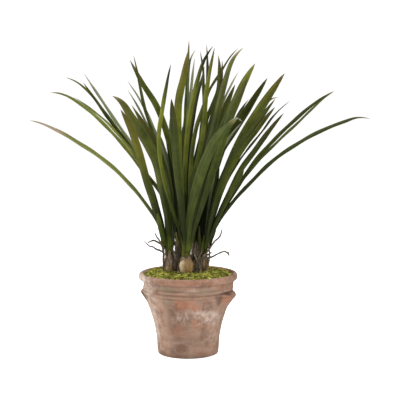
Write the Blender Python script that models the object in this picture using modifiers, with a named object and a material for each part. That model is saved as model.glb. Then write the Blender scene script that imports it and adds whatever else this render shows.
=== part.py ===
"""Potted orchid foliage plant: five growths of strap leaves in a lime-washed terracotta pot.

Metres, +Z up. The origin is the centre of the pot's flat underside and the front is -Y.
"""
import math
import random
from collections import namedtuple

import bmesh
import bpy
import numpy as np
from mathutils import Matrix, Vector

MM = 0.001
FIT_GAP = 0.0004

# Pot, turned about the vertical axis.
POT_HEIGHT = 0.206
BASE_RADIUS = 0.0705
LIP_RADIUS = 0.1235
MOUTH_RADIUS = 0.1125
TURN_STEPS = 38
FLOOR_THICKNESS = 0.013
# Outside and inside of the wall as (radius, height), from the underside up to the rim and down again.
POT_PROFILE = [
    (BASE_RADIUS, 0.0), (0.0748, 0.0022), (0.0764, 0.0090),
    (0.0794, 0.045), (0.0866, 0.080), (0.0958, 0.1100), (0.1052, 0.138),
    (0.1094, 0.1535), (0.1126, 0.1556), (0.1130, 0.1610), (0.1106, 0.1640),
    (0.1130, 0.1668), (0.1134, 0.1706), (0.1116, 0.1732), (0.1146, 0.1872),
    (0.1206, 0.1890), (LIP_RADIUS, 0.1930), (LIP_RADIUS, 0.2010), (0.1205, 0.2050), (0.1165, POT_HEIGHT),
    (MOUTH_RADIUS, 0.2035), (0.1100, 0.1920), (0.1000, 0.150), (0.0830, 0.095),
    (0.0640, FLOOR_THICKNESS),
]
INSIDE_POINTS = 5

# Two small lug handles opposite each other under the rim, each with a flat pad above it.
LUG_AZIMUTH = math.radians(-24.0)
LUG_HALF_ANGLE = math.radians(18.0)
LUG_STATIONS = 8
LUG_SWELL_POWER = 0.45
LUG_END_SWELL = 0.08
# Section of a lug at its middle as (radius, height), with its foot inside the wall.
LUG_SECTION = [
    (0.0925, 0.1140), (0.1000, 0.1180), (0.1095, 0.1320), (0.1190, 0.1440),
    (0.1245, 0.1510), (0.1215, 0.1570), (0.1150, 0.1615), (0.1070, 0.1635),
]
PAD_HALF_ANGLE = math.radians(12.5)
PAD_SECTION = [(0.1080, 0.1665), (0.1160, 0.1675), (0.1182, 0.1760), (0.1188, 0.1900), (0.1120, 0.1900)]

# Soil.
SOIL_TOP = 0.1880
SOIL_LEVELS = (FLOOR_THICKNESS + FIT_GAP, 0.095, 0.150, SOIL_TOP)
SOIL_WALL_GAP = 1.6 * FIT_GAP

# Moss: low cushions made of two crossed waves and a finer slanted one (radians per metre), on a
# gentle mound, with a taller patch at the back left.
MOSS_BOTTOM = SOIL_TOP + FIT_GAP
MOSS_TOP = 0.2030
MOSS_WALL_GAP = 2.0 * FIT_GAP
MOSS_EDGE_RADIUS = 0.1112
MOSS_EDGE_SHARE = 0.9
MOSS_EDGE_DROP = 0.0018
MOSS_MIDDLE_SHARE = 0.12
MOSS_MOUND = 0.0046
MOSS_RELIEF = 0.0016
MOSS_RINGS = 7
CUSHION_WAVES = (118.0, 131.0)
CUSHION_PHASES = (1.1, -0.4)
RIPPLE_WAVES = (223.0, -187.0)
RIPPLE_SHARE = 0.6
PATCH_CENTRE = (-0.060, 0.080)
PATCH_REACH = 0.0316
PATCH_RISE = 0.0040

# Holes in the moss. A growth's hole clears its pseudobulb by a little at the moss's highest level.
MOSS_HOLE_GAP = 0.0006
MOSS_HOLE_LEVEL = 0.2120
HOLE_SPAN = (0.180, 0.230)
HOLE_SIDES = 16
# Holes for the roots: two ends of the middle line of each and its half width.
ROOT_HOLES = [
    ("rootstock", (-0.014, 0.014), (0.008, 0.014), 0.0168),
    ("right", (0.004, 0.012), (0.031, -0.012), 0.0092),
    ("left", (-0.010, 0.012), (-0.031, -0.008), 0.0088),
]
SIDE_HOLE = (-0.0615, -0.0040, 0.0026)

# Growths: place of each on the soil and greatest radius of its pseudobulb.
BULB_FOOT = MOSS_BOTTOM
BULB_TOP = 0.2490
NECK_RADIUS = 0.0090
Growth = namedtuple("Growth", "name x y radius")
GROWTHS = [
    Growth("left", -0.0475, 0.005, 0.0142),
    Growth("front", -0.004, -0.020, 0.0173),
    Growth("right", 0.0385, 0.005, 0.0147),
    Growth("back_left", -0.022, 0.040, 0.0145),
    Growth("back_right", 0.020, 0.044, 0.0150),
]
BULB_SIDES = 12
# Radius of a pseudobulb as (share of its height, share of its greatest radius), below its neck.
BULB_PROFILE = [
    (0.0, 0.62), (0.20, 0.75), (0.34, 0.86), (0.46, 0.95),
    (0.60, 1.0), (0.73, 0.94), (0.85, 0.78), (0.93, 0.65),
]

# Dry sheath flaps around each pseudobulb's neck, from the foot of a flap to its point.
FLAPS_PER_BULB = 3
FLAP_THICKNESS = 0.0011
FLAP_LEVELS = (0.2300, 0.2400, 0.2490)
FLAP_STANDOFFS = (-0.0016, 0.0010, 0.0028, 0.0042)
FLAP_WIDTH_SHARES = (0.9, 1.0, 0.7, 0.12)
FLAP_TOPS = (0.2530, 0.2600)
FLAP_WIDTHS = (0.009, 0.013)
FLAP_WRAP = 0.16
FLAP_PLACES = (0.2, 0.8)

# Leaf blades and the green neck they rise from.
BLADE_THICKNESS = 0.0010
BLADE_START = 0.2600
NECK_TOP = 0.2760
NECK_SIDES = 10
NECK_PROFILE = [
    (0.0086, BULB_TOP + FIT_GAP), (0.0098, BLADE_START),
    (0.0090, 0.5 * (BLADE_START + NECK_TOP)), (0.0042, NECK_TOP),
]
LAYER_STEP = 0.0015
START_SHARE = 0.10
START_SPREAD = 0.0045
LEAF_SOLVERS = {"back_right": "MANIFOLD"}
ARCHED_STATIONS = np.array([0.0, 0.09, 0.22, 0.38, 0.55, 0.71, 0.85, 0.94, 1.0])
PLAIN_STATIONS = np.array([0.0, 0.12, 0.32, 0.55, 0.77, 0.92, 1.0])
# Width along a blade and the fold of its two halves (degrees), against the share of its length.
WIDTH_AT = ([0.0, 0.10, 0.30, 0.60, 0.80, 0.91, 0.97, 1.0], [0.56, 0.66, 0.94, 1.0, 0.93, 0.66, 0.34, 0.10])
FOLD_AT = ([0.0, 0.15, 0.45, 1.0], [40.0, 27.0, 15.0, 10.0])
LEAN_POWER = 1.35
FOOT_UPRIGHT = 0.35
FOOT_TURN = 14.0
TURNED_SHARE = 0.6
# The clump is laid out as seen from this point: blade outlines are given where lines of sight
# from it meet the plane y = 0, and each blade has its own depth.
EYE = Vector((0.030, -3.180, 0.728))

# One blade: points on its midline from the lowest to the tip (x, z in mm), depth of the tip (y in
# mm), greatest width in mm, and the turn about its own length beyond TURNED_SHARE (degrees; 0 shows
# its full width to the front).
Leaf = namedtuple("Leaf", "outline lean width turn")
LEAVES = {
    "left": [
        Leaf([(-76, 330), (-122, 400), (-193, 475), (-262, 525), (-345, 571), (-392, 587)], -45, 13, 50),
        Leaf([(-58, 375), (-100, 447), (-170, 538), (-250, 616), (-305, 650), (-340, 656)], 15, 16, 50),
        Leaf([(-88, 405), (-130, 501), (-200, 600), (-262, 673), (-302, 693)], 62, 13, 45),
        Leaf([(-84, 385), (-130, 498), (-200, 597), (-260, 682)], 25, 14, 40),
        Leaf([(-82, 375), (-127, 488), (-200, 580), (-250, 622), (-282, 645)], -20, 11, 50),
        Leaf([(-80, 390), (-124, 502), (-190, 602), (-257, 703)], 105, 12, 45),
        Leaf([(-66, 330), (-93, 405), (-118, 487), (-137, 550), (-155, 597), (-167, 613)], -150, 21, 12),
        Leaf([(-40, 340), (-60, 425), (-89, 520), (-118, 576), (-155, 627), (-197, 648)], -105, 26, 15),
        Leaf([(-46, 420), (-80, 535), (-112, 585), (-140, 625)], -40, 17, 25),
        Leaf([(-52, 430), (-86, 550), (-108, 630), (-120, 692), (-133, 748)], 12, 17, 35),
        Leaf([(-62, 470), (-100, 580), (-148, 663)], 50, 12, 35),
    ],
    "front": [
        Leaf([(-30, 335), (-62, 450), (-73, 540), (-61, 630), (-43, 725)], -150, 16, 30),
        Leaf([(-14, 350), (-28, 455), (-36, 545), (-43, 641)], -235, 26, 5),
        Leaf([(-18, 400), (-27, 560), (-23, 635), (-11, 695), (0, 757)], -95, 21, 10),
        Leaf([(-8, 450), (-1, 580), (19, 672), (38, 733), (62, 770)], -70, 16, 20),
        Leaf([(4, 450), (20, 560), (45, 655), (58, 720), (67, 767)], -125, 15, 25),
        Leaf([(32, 400), (80, 545), (119, 625), (140, 677), (167, 727)], -140, 26, 8),
        Leaf([(42, 400), (90, 530), (128, 625), (145, 665), (152, 697)], -195, 23, 15),
        Leaf([(28, 430), (68, 575), (93, 680), (112, 737), (137, 766)], -80, 19, 12),
        Leaf([(26, 410), (64, 580), (78, 650), (75, 738)], -55, 15, 28),
        Leaf([(16, 430), (38, 600), (44, 690), (30, 760)], -48, 13, 38),
        Leaf([(8, 380), (21, 500), (24, 600)], -200, 20, 60),
    ],
    "right": [
        Leaf([(71, 325), (120, 398), (203, 475), (295, 541), (385, 581), (432, 594), (451, 590)],
             -55, 14, 50),
        Leaf([(95, 380), (145, 450), (200, 513), (275, 600), (322, 635), (362, 660)], -5, 18, 35),
        Leaf([(95, 378), (148, 447), (206, 512), (286, 592), (362, 657)], 30, 12, 60),
        Leaf([(85, 372), (124, 450), (164, 502), (199, 553), (236, 606)], -120, 17, 15),
        Leaf([(74, 390), (95, 447), (142, 525), (186, 584), (217, 619)], -80, 20, 15),
        Leaf([(70, 380), (94, 455), (134, 543), (182, 624), (238, 702)], -22, 22, 10),
        Leaf([(76, 420), (120, 510), (165, 570), (210, 632)], -160, 13, 25),
        Leaf([(97, 420), (158, 511), (212, 592)], 62, 10, 55),
        Leaf([(101, 420), (160, 518), (253, 635)], 95, 10, 55),
        Leaf([(94, 448), (150, 560), (186, 613), (208, 640), (225, 643)], 48, 13, 35),
        Leaf([(52, 400), (84, 503), (110, 555), (170, 650), (197, 692)], 25, 21, 12),
    ],
    "back_left": [
        Leaf([(-30, 440), (-52, 545), (-76, 620), (-108, 680), (-140, 735)], 115, 17, 15),
        Leaf([(-54, 480), (-100, 603), (-150, 685)], 160, 12, 40),
        Leaf([(-14, 470), (-4, 600), (0, 700), (3, 785)], 62, 14, 35),
        Leaf([(-9, 520), (0, 690), (7, 738), (20, 762)], 100, 11, 40),
        Leaf([(-2, 500), (7, 650), (17, 742)], 150, 12, 25),
        Leaf([(-44, 420), (-68, 520), (-92, 585)], 205, 17, 25),
        Leaf([(-28, 420), (-38, 525), (-45, 590)], 255, 18, -10),
        Leaf([(-38, 410), (-56, 505), (-70, 560)], 315, 17, 20),
        Leaf([(-56, 415), (-92, 500), (-114, 535)], 275, 16, 35),
    ],
    "back_right": [
        Leaf([(20, 500), (48, 650), (85, 708), (106, 745), (125, 765)], 95, 11, 45),
        Leaf([(46, 510), (92, 642), (125, 707)], 140, 11, 50),
        Leaf([(52, 480), (88, 590), (108, 645), (114, 668)], 110, 17, 20),
        Leaf([(66, 470), (124, 598), (151, 640)], 165, 13, 30),
        Leaf([(32, 510), (43, 610), (49, 700), (46, 775)], 66, 15, 30),
        Leaf([(60, 490), (100, 570), (120, 591), (134, 581)], 215, 12, 30),
        Leaf([(44, 510), (80, 670), (85, 735)], 130, 13, 35),
        Leaf([(26, 420), (34, 510), (40, 575)], 280, 18, 10),
        Leaf([(40, 410), (64, 500), (82, 560)], 325, 17, -15),
        Leaf([(52, 410), (86, 490), (112, 535)], 260, 17, -25),
    ],
}

# Roots.
ROOT_RADIUS = 0.0017
ROOT_TAPER_START = 0.6
ROOT_TIP_SHARE = 0.45
ROOTSTOCK_PLACE = (-0.003, 0.014, 0.0)
ROOTSTOCK_PROFILE = [
    (0.0189, MOSS_BOTTOM), (0.0210, 0.1960), (0.0193, 0.2060), (0.0139, 0.2120), (0.0063, 0.2155),
]
ROOTSTOCK_DEPTH_SHARE = 0.6
ROOTSTOCK_SIDES = 14
CLUMP_OFFSET = 8.0
# Midlines of the roots of the tangle between the growths, in mm, CLUMP_OFFSET short in y.
TANGLE_ROOTS = [
    [(4, 4, 202), (14, -7, 208), (20, -15, 222), (19, -17, 240), (17, -16, 262), (20, -14, 285)],
    [(6, 3, 202), (18, -11, 206), (27, -19, 216), (29, -21, 232), (25, -19, 247), (19, -16, 257)],
    [(4, 2, 205), (16, -9, 209), (26, -19, 213), (34, -23, 224), (32, -23, 240), (25, -21, 252)],
    [(4, 3, 204), (11, -5, 216), (15, -9, 236), (11, -11, 256), (11, -14, 274), (6, -13, 292)],
    [(3, 5, 206), (13, -5, 212), (23, -15, 228), (26, -17, 246), (21, -13, 262), (25, -12, 279)],
    [(-10, 4, 202), (-20, -5, 210), (-27, -12, 224), (-28, -13, 242), (-30, -12, 262), (-31, -12, 284)],
    [(-9, 5, 204), (-17, -4, 214), (-22, -9, 230), (-21, -10, 248), (-25, -13, 268), (-21, -13, 290)],
    [(-11, 3, 203), (-23, -9, 207), (-32, -17, 213), (-34, -18, 230), (-31, -16, 246), (-27, -15, 258)],
    [(-12, 3, 206), (-21, -7, 218), (-30, -15, 236), (-34, -17, 252), (-38, -17, 268)],
    [(-2, 12, 205), (0, 18, 214), (-1, 23, 232), (1, 21, 250), (-1, 18, 268)],
    [(-10, 8, 204), (-19, 11, 212), (-31, 15, 226), (-36, 18, 241), (-33, 16, 256)],
    [(6, 9, 205), (17, 12, 214), (27, 15, 228), (25, 15, 246), (22, 13, 258)],
    [(5, 4, 203), (19, -12, 208), (31, -22, 224), (38, -22, 240), (52, -16, 243), (62, -12, 246),
     (78, -9, 254), (92, -7, 258), (99, -6, 255), (105, -6, 259)],
    [(97, -6, 256), (101, -5.5, 252), (103, -5, 246)],
    [(20, -15, 222), (30, -23, 236), (40, -23, 250), (50, -22, 262), (57, -22, 272), (66, -22, 285),
     (81, -21, 300), (85, -20, 320)],
    [(30, -23, 236), (42, -22, 248), (53, -20, 254), (60, -19, 259)],
]
# Midlines of the roots standing out to the left, in mm.
LEFT_ROOTS = [
    [(-61.5, -4, 189), (-61.5, -4, 206), (-62, -4, 222), (-62, -4, 240), (-61, -5, 254), (-67, -5, 260),
     (-80, -5, 265), (-88, -6, 271), (-96, -7, 273), (-111, -8, 288)],
    [(-62, -4, 240), (-61.5, -6, 262), (-62, -5, 272), (-68, -3, 277), (-86, 0, 286), (-94, 0, 284),
     (-101, -2, 280)],
    [(-62, -4, 222), (-61, -7, 246), (-62.5, -9, 262), (-66, -11, 277), (-72, -12, 289), (-78, -13, 297),
     (-83, -14, 309)],
]

# Colours as base colour and roughness.
FINISHES = {
    "pot": ((0.42, 0.27, 0.20), 0.9),
    "soil": ((0.035, 0.024, 0.016), 1.0),
    "moss": ((0.30, 0.33, 0.05), 1.0),
    "bulb": ((0.36, 0.26, 0.13), 0.7),
    "leaf": ((0.055, 0.085, 0.022), 0.5),
    "root": ((0.055, 0.038, 0.028), 0.9),
}
SHARP_ANGLE = math.radians(35.0)


def clear_scene():
    """Empties the scene of objects."""
    for obj in list(bpy.data.objects):
        bpy.data.objects.remove(obj, do_unlink=True)


def new_collection(name):
    """Adds a collection to the scene."""
    group = bpy.data.collections.new(name)
    bpy.context.scene.collection.children.link(group)
    return group


def finish(name, key):
    """Makes a node's own material."""
    colour, roughness = FINISHES[key]
    material = bpy.data.materials.new(name)
    material.use_nodes = True
    shader = material.node_tree.nodes["Principled BSDF"]
    shader.inputs["Base Color"].default_value = (*colour, 1.0)
    shader.inputs["Roughness"].default_value = roughness
    return material


def add_object(name, mesh, group):
    """Links a mesh as an object in a collection; what goes among the cutters shows as wire only."""
    obj = bpy.data.objects.new(name, mesh)
    group.objects.link(obj)
    if group.hide_render:
        obj.hide_render = True
        obj.display_type = "WIRE"
    return obj


def loft(name, rings):
    """Closed mesh through rings of equal vertex count, with a flat face at each end."""
    count = len(rings[0])
    vertices = [tuple(v) for ring in rings for v in ring]
    faces = []
    for i in range(len(rings) - 1):
        for j in range(count):
            k = (j + 1) % count
            faces.append((i * count + j, i * count + k, (i + 1) * count + k, (i + 1) * count + j))
    faces.append(tuple(range(count)))
    last = (len(rings) - 1) * count
    faces.append(tuple(range(last, last + count)))
    mesh = bpy.data.meshes.new(name)
    mesh.from_pydata(vertices, [], faces)
    work = bmesh.new()
    work.from_mesh(mesh)
    bmesh.ops.recalc_face_normals(work, faces=work.faces)
    work.to_mesh(mesh)
    work.free()
    return mesh


def apply_all(obj):
    """Replaces an object's mesh by its mesh with all modifiers applied."""
    bpy.context.view_layer.update()
    graph = bpy.context.evaluated_depsgraph_get()
    mesh = bpy.data.meshes.new_from_object(obj.evaluated_get(graph))
    obj.modifiers.clear()
    obj.data = mesh


def combine(obj, pieces, operation, solver="EXACT"):
    """Joins or cuts an object with every object of a collection, then removes those objects."""
    modifier = obj.modifiers.new(operation.lower(), "BOOLEAN")
    modifier.operation = operation
    modifier.operand_type = "COLLECTION"
    modifier.collection = pieces
    modifier.solver = solver
    apply_all(obj)
    for piece in list(pieces.objects):
        bpy.data.objects.remove(piece, do_unlink=True)


def turned(name, profile, steps, group):
    """Turns a (radius, height) profile about the axis and closes it to the axis at both ends."""
    outline = [(0.0, profile[0][1]), *profile, (0.0, profile[-1][1])]
    points = [(r, 0.0, z) for r, z in reversed(outline)]
    mesh = bpy.data.meshes.new(name)
    mesh.from_pydata(points, [(i, i + 1) for i in range(len(points) - 1)], [])
    obj = add_object(name, mesh, group)
    screw = obj.modifiers.new("turn", "SCREW")
    screw.axis = "Z"
    screw.steps = steps
    screw.render_steps = steps
    screw.use_merge_vertices = True
    screw.merge_threshold = 0.00005
    screw.use_smooth_shade = False
    apply_all(obj)
    return obj


def turn_angles():
    """Angles of the pot's turning steps."""
    return [2.0 * math.pi * i / TURN_STEPS for i in range(TURN_STEPS)]


def inner_radius(z):
    """Radius of the pot's inside at a height."""
    inside = sorted((h, r) for r, h in POT_PROFILE[-INSIDE_POINTS:])
    return float(np.interp(z, [h for h, _ in inside], [r for _, r in inside]))


def wall_middle(z):
    """Radius of the middle of the pot's wall at a height."""
    outside = sorted((h, r) for r, h in POT_PROFILE[:-INSIDE_POINTS])
    outer = float(np.interp(z, [h for h, _ in outside], [r for _, r in outside]))
    return 0.5 * (inner_radius(z) + outer)


def wall_bulge(name, azimuth, half_angle, section, group):
    """A bulge on the wall: its section shrinks toward the wall on both sides of its middle."""
    rings = []
    for share in np.linspace(-1.0, 1.0, LUG_STATIONS):
        angle = azimuth + half_angle * share
        swell = LUG_END_SWELL + (1.0 - LUG_END_SWELL) * max(0.0, 1.0 - share * share) ** LUG_SWELL_POWER
        ring = []
        for radius, z in section:
            middle = wall_middle(z)
            r = middle + (radius - middle) * swell if radius > middle else radius
            ring.append((r * math.cos(angle), r * math.sin(angle), z))
        rings.append(ring)
    return add_object(name, loft(name, rings), group)


def build_pot(parts, cutters):
    """Turned pot with its two lugs joined on."""
    pot = turned("pot", POT_PROFILE, TURN_STEPS, parts)
    for side, azimuth in (("right", LUG_AZIMUTH), ("left", LUG_AZIMUTH + math.pi)):
        wall_bulge("lug_" + side, azimuth, LUG_HALF_ANGLE, LUG_SECTION, cutters)
        wall_bulge("pad_" + side, azimuth, PAD_HALF_ANGLE, PAD_SECTION, cutters)
    combine(pot, cutters, "UNION")
    return pot


def build_soil(parts):
    """Soil filling the pot up to the moss."""
    profile = [(inner_radius(z) - SOIL_WALL_GAP, z) for z in SOIL_LEVELS]
    return turned("potting_soil", profile, TURN_STEPS, parts)


def moss_height(x, y):
    """Height of the moss over a point of the soil."""
    wave_x = math.sin(CUSHION_WAVES[0] * x + CUSHION_PHASES[0])
    wave_y = math.cos(CUSHION_WAVES[1] * y + CUSHION_PHASES[1])
    ripple = RIPPLE_SHARE * math.sin(RIPPLE_WAVES[0] * x + RIPPLE_WAVES[1] * y)
    patch = PATCH_RISE * math.exp(-(math.dist((x, y), PATCH_CENTRE) / PATCH_REACH) ** 2)
    mound = MOSS_MOUND * (1.0 - (x * x + y * y) / MOSS_EDGE_RADIUS ** 2)
    return MOSS_TOP + MOSS_RELIEF * (wave_x * wave_y + ripple) + patch + mound


def slot_cutter(name, start, end, radius, group):
    """Upright prism around a line between two points, rounded at both ends."""
    heading = math.atan2(end[1] - start[1], end[0] - start[0])
    turns = np.linspace(0.0, math.pi, HOLE_SIDES // 2 + 1)
    outline = []
    for (x, y), first in ((start, heading + math.pi / 2), (end, heading - math.pi / 2)):
        outline += [(x + radius * math.cos(a), y + radius * math.sin(a)) for a in first + turns]
    rings = [[(x, y, z) for x, y in outline] for z in HOLE_SPAN]
    return add_object(name, loft(name, rings), group)


def round_cutter(name, x, y, radius, group):
    """Upright cylinder."""
    low, high = HOLE_SPAN
    work = bmesh.new()
    bmesh.ops.create_cone(work, cap_ends=True, segments=HOLE_SIDES, radius1=radius, radius2=radius,
                          depth=high - low, matrix=Matrix.Translation((x, y, 0.5 * (low + high))))
    mesh = bpy.data.meshes.new(name)
    work.to_mesh(mesh)
    work.free()
    return add_object(name, mesh, group)


def build_moss(parts, cutters):
    """Moss layer with plain holes where the growths and roots stand."""
    edge = inner_radius(MOSS_BOTTOM) - MOSS_WALL_GAP
    rings = [[(edge * math.cos(a), edge * math.sin(a), MOSS_BOTTOM) for a in turn_angles()]]
    for share in np.linspace(1.0, MOSS_MIDDLE_SHARE, MOSS_RINGS):
        droop = MOSS_EDGE_DROP * max(0.0, (share - MOSS_EDGE_SHARE) / (1.0 - MOSS_EDGE_SHARE))
        spots = [(MOSS_EDGE_RADIUS * share * math.cos(a), MOSS_EDGE_RADIUS * share * math.sin(a))
                 for a in turn_angles()]
        rings.append([(x, y, moss_height(x, y) - droop) for x, y in spots])
    moss = add_object("moss", loft("moss", rings), parts)
    for growth in GROWTHS:
        radius = bulb_radius(growth, MOSS_HOLE_LEVEL) + MOSS_HOLE_GAP
        round_cutter("hole_" + growth.name, growth.x, growth.y, radius, cutters)
    for name, start, end, radius in ROOT_HOLES:
        slot_cutter("hole_" + name, start, end, radius, cutters)
    round_cutter("hole_side", *SIDE_HOLE, cutters)
    combine(moss, cutters, "DIFFERENCE")
    return moss


def thin_strip(name, rows, thickness, group):
    """Strip of even thickness through rows of three points: left edge, keel and right edge."""
    vertices = [tuple(point) for row in rows for point in row]
    faces = []
    for a in range(0, len(vertices) - 3, 3):
        faces += [(a, a + 1, a + 4), (a, a + 4, a + 3), (a + 1, a + 2, a + 4), (a + 2, a + 5, a + 4)]
    mesh = bpy.data.meshes.new(name)
    mesh.from_pydata(vertices, [], faces)
    strip = add_object(name, mesh, group)
    solidify = strip.modifiers.new("thickness", "SOLIDIFY")
    solidify.thickness = thickness
    solidify.offset = 0.0
    solidify.use_even_offset = True
    apply_all(strip)
    return strip


def blade_rows(midline, widths, folds, turns):
    """Rows of a folded blade along a midline.

    At turn 0 the width lies across the view to the front, and the two halves fold up from the keel.
    """
    points = np.asarray(midline)
    tangents = np.gradient(points, axis=0)
    tangents /= np.linalg.norm(tangents, axis=1)[:, None]
    across = np.cross(tangents, (0.0, 1.0, 0.0))
    middle = len(points) // 2
    across *= np.sign(across @ across[middle])[:, None]
    across /= np.linalg.norm(across, axis=1)[:, None]
    normals = np.cross(across, tangents)
    turns = np.radians(turns)[:, None]
    wide = np.cos(turns) * across + np.sin(turns) * normals
    upper = np.cross(wide, tangents) * np.sign(normals[middle][2])
    half = 0.5 * np.asarray(widths)[:, None]
    lift = 0.5 * half * np.tan(np.radians(folds))[:, None] * upper
    return zip(points - wide * half + lift, points - lift, points + wide * half + lift)


def sight_point(outline_point, depth):
    """Point at a depth on the line of sight through an outline point given in mm."""
    seen = Vector((outline_point[0] * MM, 0.0, outline_point[1] * MM))
    share = (depth - EYE.y) / (seen.y - EYE.y)
    return EYE + (seen - EYE) * share


def rising_line(points, knots, shares):
    """Smooth line through points at their knots that sets off between straight up and its chord."""
    spots = np.array([tuple(p) for p in points])
    chords = np.diff(spots, axis=0) / np.diff(knots)[:, None]
    slopes = np.zeros_like(spots)
    up = np.array((0.0, 0.0, np.linalg.norm(chords[0])))
    slopes[0] = (1.0 - FOOT_UPRIGHT) * chords[0] + FOOT_UPRIGHT * up
    slopes[1:-1] = 0.5 * (chords[:-1] + chords[1:])
    slopes[-1] = 2.0 * chords[-1] - slopes[-2]
    span = np.clip(np.searchsorted(knots, shares, side="right") - 1, 0, len(knots) - 2)
    length = (knots[span + 1] - knots[span])[:, None]
    t = (shares - knots[span])[:, None] / length
    start = (1 + 2 * t) * (1 - t) ** 2 * spots[span] + t * (1 - t) ** 2 * length * slopes[span]
    end = t * t * (3 - 2 * t) * spots[span + 1] + t * t * (t - 1) * length * slopes[span + 1]
    return start + end


def leaf_midline(leaf, foot, shares):
    """Midline of a blade from its foot to its tip."""
    outline = [(foot[0] / MM, foot[2] / MM), *leaf.outline]
    steps = [math.dist(outline[i], outline[i + 1]) for i in range(len(outline) - 1)]
    knots = np.concatenate(([0.0], np.cumsum(steps))) / sum(steps)
    tip_depth = leaf.lean * MM
    points = [foot]
    for knot, spot in zip(knots[1:], outline[1:]):
        points.append(sight_point(spot, foot[1] + (tip_depth - foot[1]) * knot ** LEAN_POWER))
    return rising_line(points, knots, shares)


def ordered_leaves(growth):
    """Leaves of a growth from front to back with the foot of each in its own layer."""
    leaves = sorted(LEAVES[growth.name], key=lambda leaf: leaf.lean)
    middle = (len(leaves) - 1) / 2
    placed = []
    for i, leaf in enumerate(leaves):
        aside = (leaf.outline[0][0] * MM - growth.x) * START_SHARE
        aside = min(START_SPREAD, max(-START_SPREAD, aside))
        foot = (growth.x + aside, growth.y + (i - middle) * LAYER_STEP, BLADE_START)
        placed.append((leaf, foot))
    return placed


def build_leaves(growth, parts, cutters):
    """Leaf fan of a growth: its blades joined to a short green neck."""
    neck = turned("leaves_" + growth.name, NECK_PROFILE, NECK_SIDES, parts)
    neck.location = (growth.x, growth.y, 0.0)
    for number, (leaf, foot) in enumerate(ordered_leaves(growth)):
        shares = ARCHED_STATIONS if len(leaf.outline) > 3 else PLAIN_STATIONS
        midline = leaf_midline(leaf, foot, shares)
        widths = np.interp(shares, *WIDTH_AT) * leaf.width * MM
        folds = np.interp(shares, *FOLD_AT)
        turns = FOOT_TURN + (leaf.turn - FOOT_TURN) * np.clip(shares / TURNED_SHARE, 0.0, 1.0)
        rows = blade_rows(midline, widths, folds, turns)
        thin_strip("blade_%s_%02d" % (growth.name, number), rows, BLADE_THICKNESS, cutters)
    combine(neck, cutters, "UNION", LEAF_SOLVERS.get(growth.name, "EXACT"))
    return neck


def bulb_outline(growth):
    """Outline of a pseudobulb as (radius, height) from its foot to its neck."""
    rise = BULB_TOP - BULB_FOOT
    outline = [(r * growth.radius, BULB_FOOT + share * rise) for share, r in BULB_PROFILE]
    return [*outline, (NECK_RADIUS, BULB_TOP)]


def bulb_radius(growth, z):
    """Radius of a pseudobulb at a height."""
    outline = bulb_outline(growth)
    return float(np.interp(z, [h for _, h in outline], [r for r, _ in outline]))


def flap_rows(growth, angle, top, width):
    """Rows of a pointed papery flap that bends around the neck."""
    along = np.array((-math.sin(angle), math.cos(angle), 0.0))
    outward = np.array((math.cos(angle), math.sin(angle), 0.0))
    rows = []
    for z, standoff, share in zip((*FLAP_LEVELS, top), FLAP_STANDOFFS, FLAP_WIDTH_SHARES):
        point = np.array((growth.x, growth.y, z)) + outward * (bulb_radius(growth, z) + standoff)
        half = 0.5 * width * share
        back = outward * FLAP_WRAP * half
        rows.append((point - along * half - back, point, point + along * half - back))
    return rows


def build_bulb(growth, chooser, parts, cutters):
    """Pseudobulb with dry sheath flaps standing up around its neck."""
    bulb = turned("pseudobulb_" + growth.name, bulb_outline(growth), BULB_SIDES, parts)
    bulb.location = (growth.x, growth.y, 0.0)
    for i in range(FLAPS_PER_BULB):
        angle = 2.0 * math.pi * (i + chooser.uniform(*FLAP_PLACES)) / FLAPS_PER_BULB
        top = chooser.uniform(*FLAP_TOPS)
        width = chooser.uniform(*FLAP_WIDTHS)
        rows = flap_rows(growth, angle, top, width)
        thin_strip("flap_%s_%d" % (growth.name, i), rows, FLAP_THICKNESS, cutters)
    combine(bulb, cutters, "UNION")
    return bulb


def root_tube(name, points, group):
    """Wiry root through its points, thinner toward its tip."""
    curve = bpy.data.curves.new(name, "CURVE")
    curve.dimensions = "3D"
    curve.bevel_depth = ROOT_RADIUS
    curve.bevel_resolution = 1
    curve.use_fill_caps = True
    spline = curve.splines.new("POLY")
    spline.points.add(len(points) - 1)
    for i, (x, y, z) in enumerate(points):
        taper = max(0.0, (i / (len(points) - 1) - ROOT_TAPER_START) / (1.0 - ROOT_TAPER_START))
        spline.points[i].co = (x * MM, y * MM, z * MM, 1.0)
        spline.points[i].radius = 1.0 - (1.0 - ROOT_TIP_SHARE) * taper
    holder = bpy.data.objects.new(name + "_line", curve)
    group.objects.link(holder)
    bpy.context.view_layer.update()
    graph = bpy.context.evaluated_depsgraph_get()
    mesh = bpy.data.meshes.new_from_object(holder.evaluated_get(graph))
    bpy.data.objects.remove(holder, do_unlink=True)
    work = bmesh.new()
    work.from_mesh(mesh)
    bmesh.ops.remove_doubles(work, verts=work.verts, dist=0.00001)
    bmesh.ops.recalc_face_normals(work, faces=work.faces)
    work.to_mesh(mesh)
    work.free()
    return add_object(name, mesh, group)


def build_rootstock(parts, cutters):
    """Low rootstock between the growths with its tangle of roots."""
    stock = turned("rootstock", ROOTSTOCK_PROFILE, ROOTSTOCK_SIDES, parts)
    stock.data.transform(Matrix.Diagonal((1.0, ROOTSTOCK_DEPTH_SHARE, 1.0, 1.0)))
    stock.location = ROOTSTOCK_PLACE
    for i, points in enumerate(TANGLE_ROOTS):
        root_tube("tangle_root_%02d" % i, [(x, y + CLUMP_OFFSET, z) for x, y, z in points], cutters)
    combine(stock, cutters, "UNION")
    return stock


def build_left_roots(parts, cutters):
    """Aerial roots beside the left growth, joined into one piece."""
    trunk = root_tube("aerial_roots_left", LEFT_ROOTS[0], parts)
    for i, points in enumerate(LEFT_ROOTS[1:]):
        root_tube("side_root_%02d" % i, points, cutters)
    combine(trunk, cutters, "UNION")
    return trunk


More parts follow.
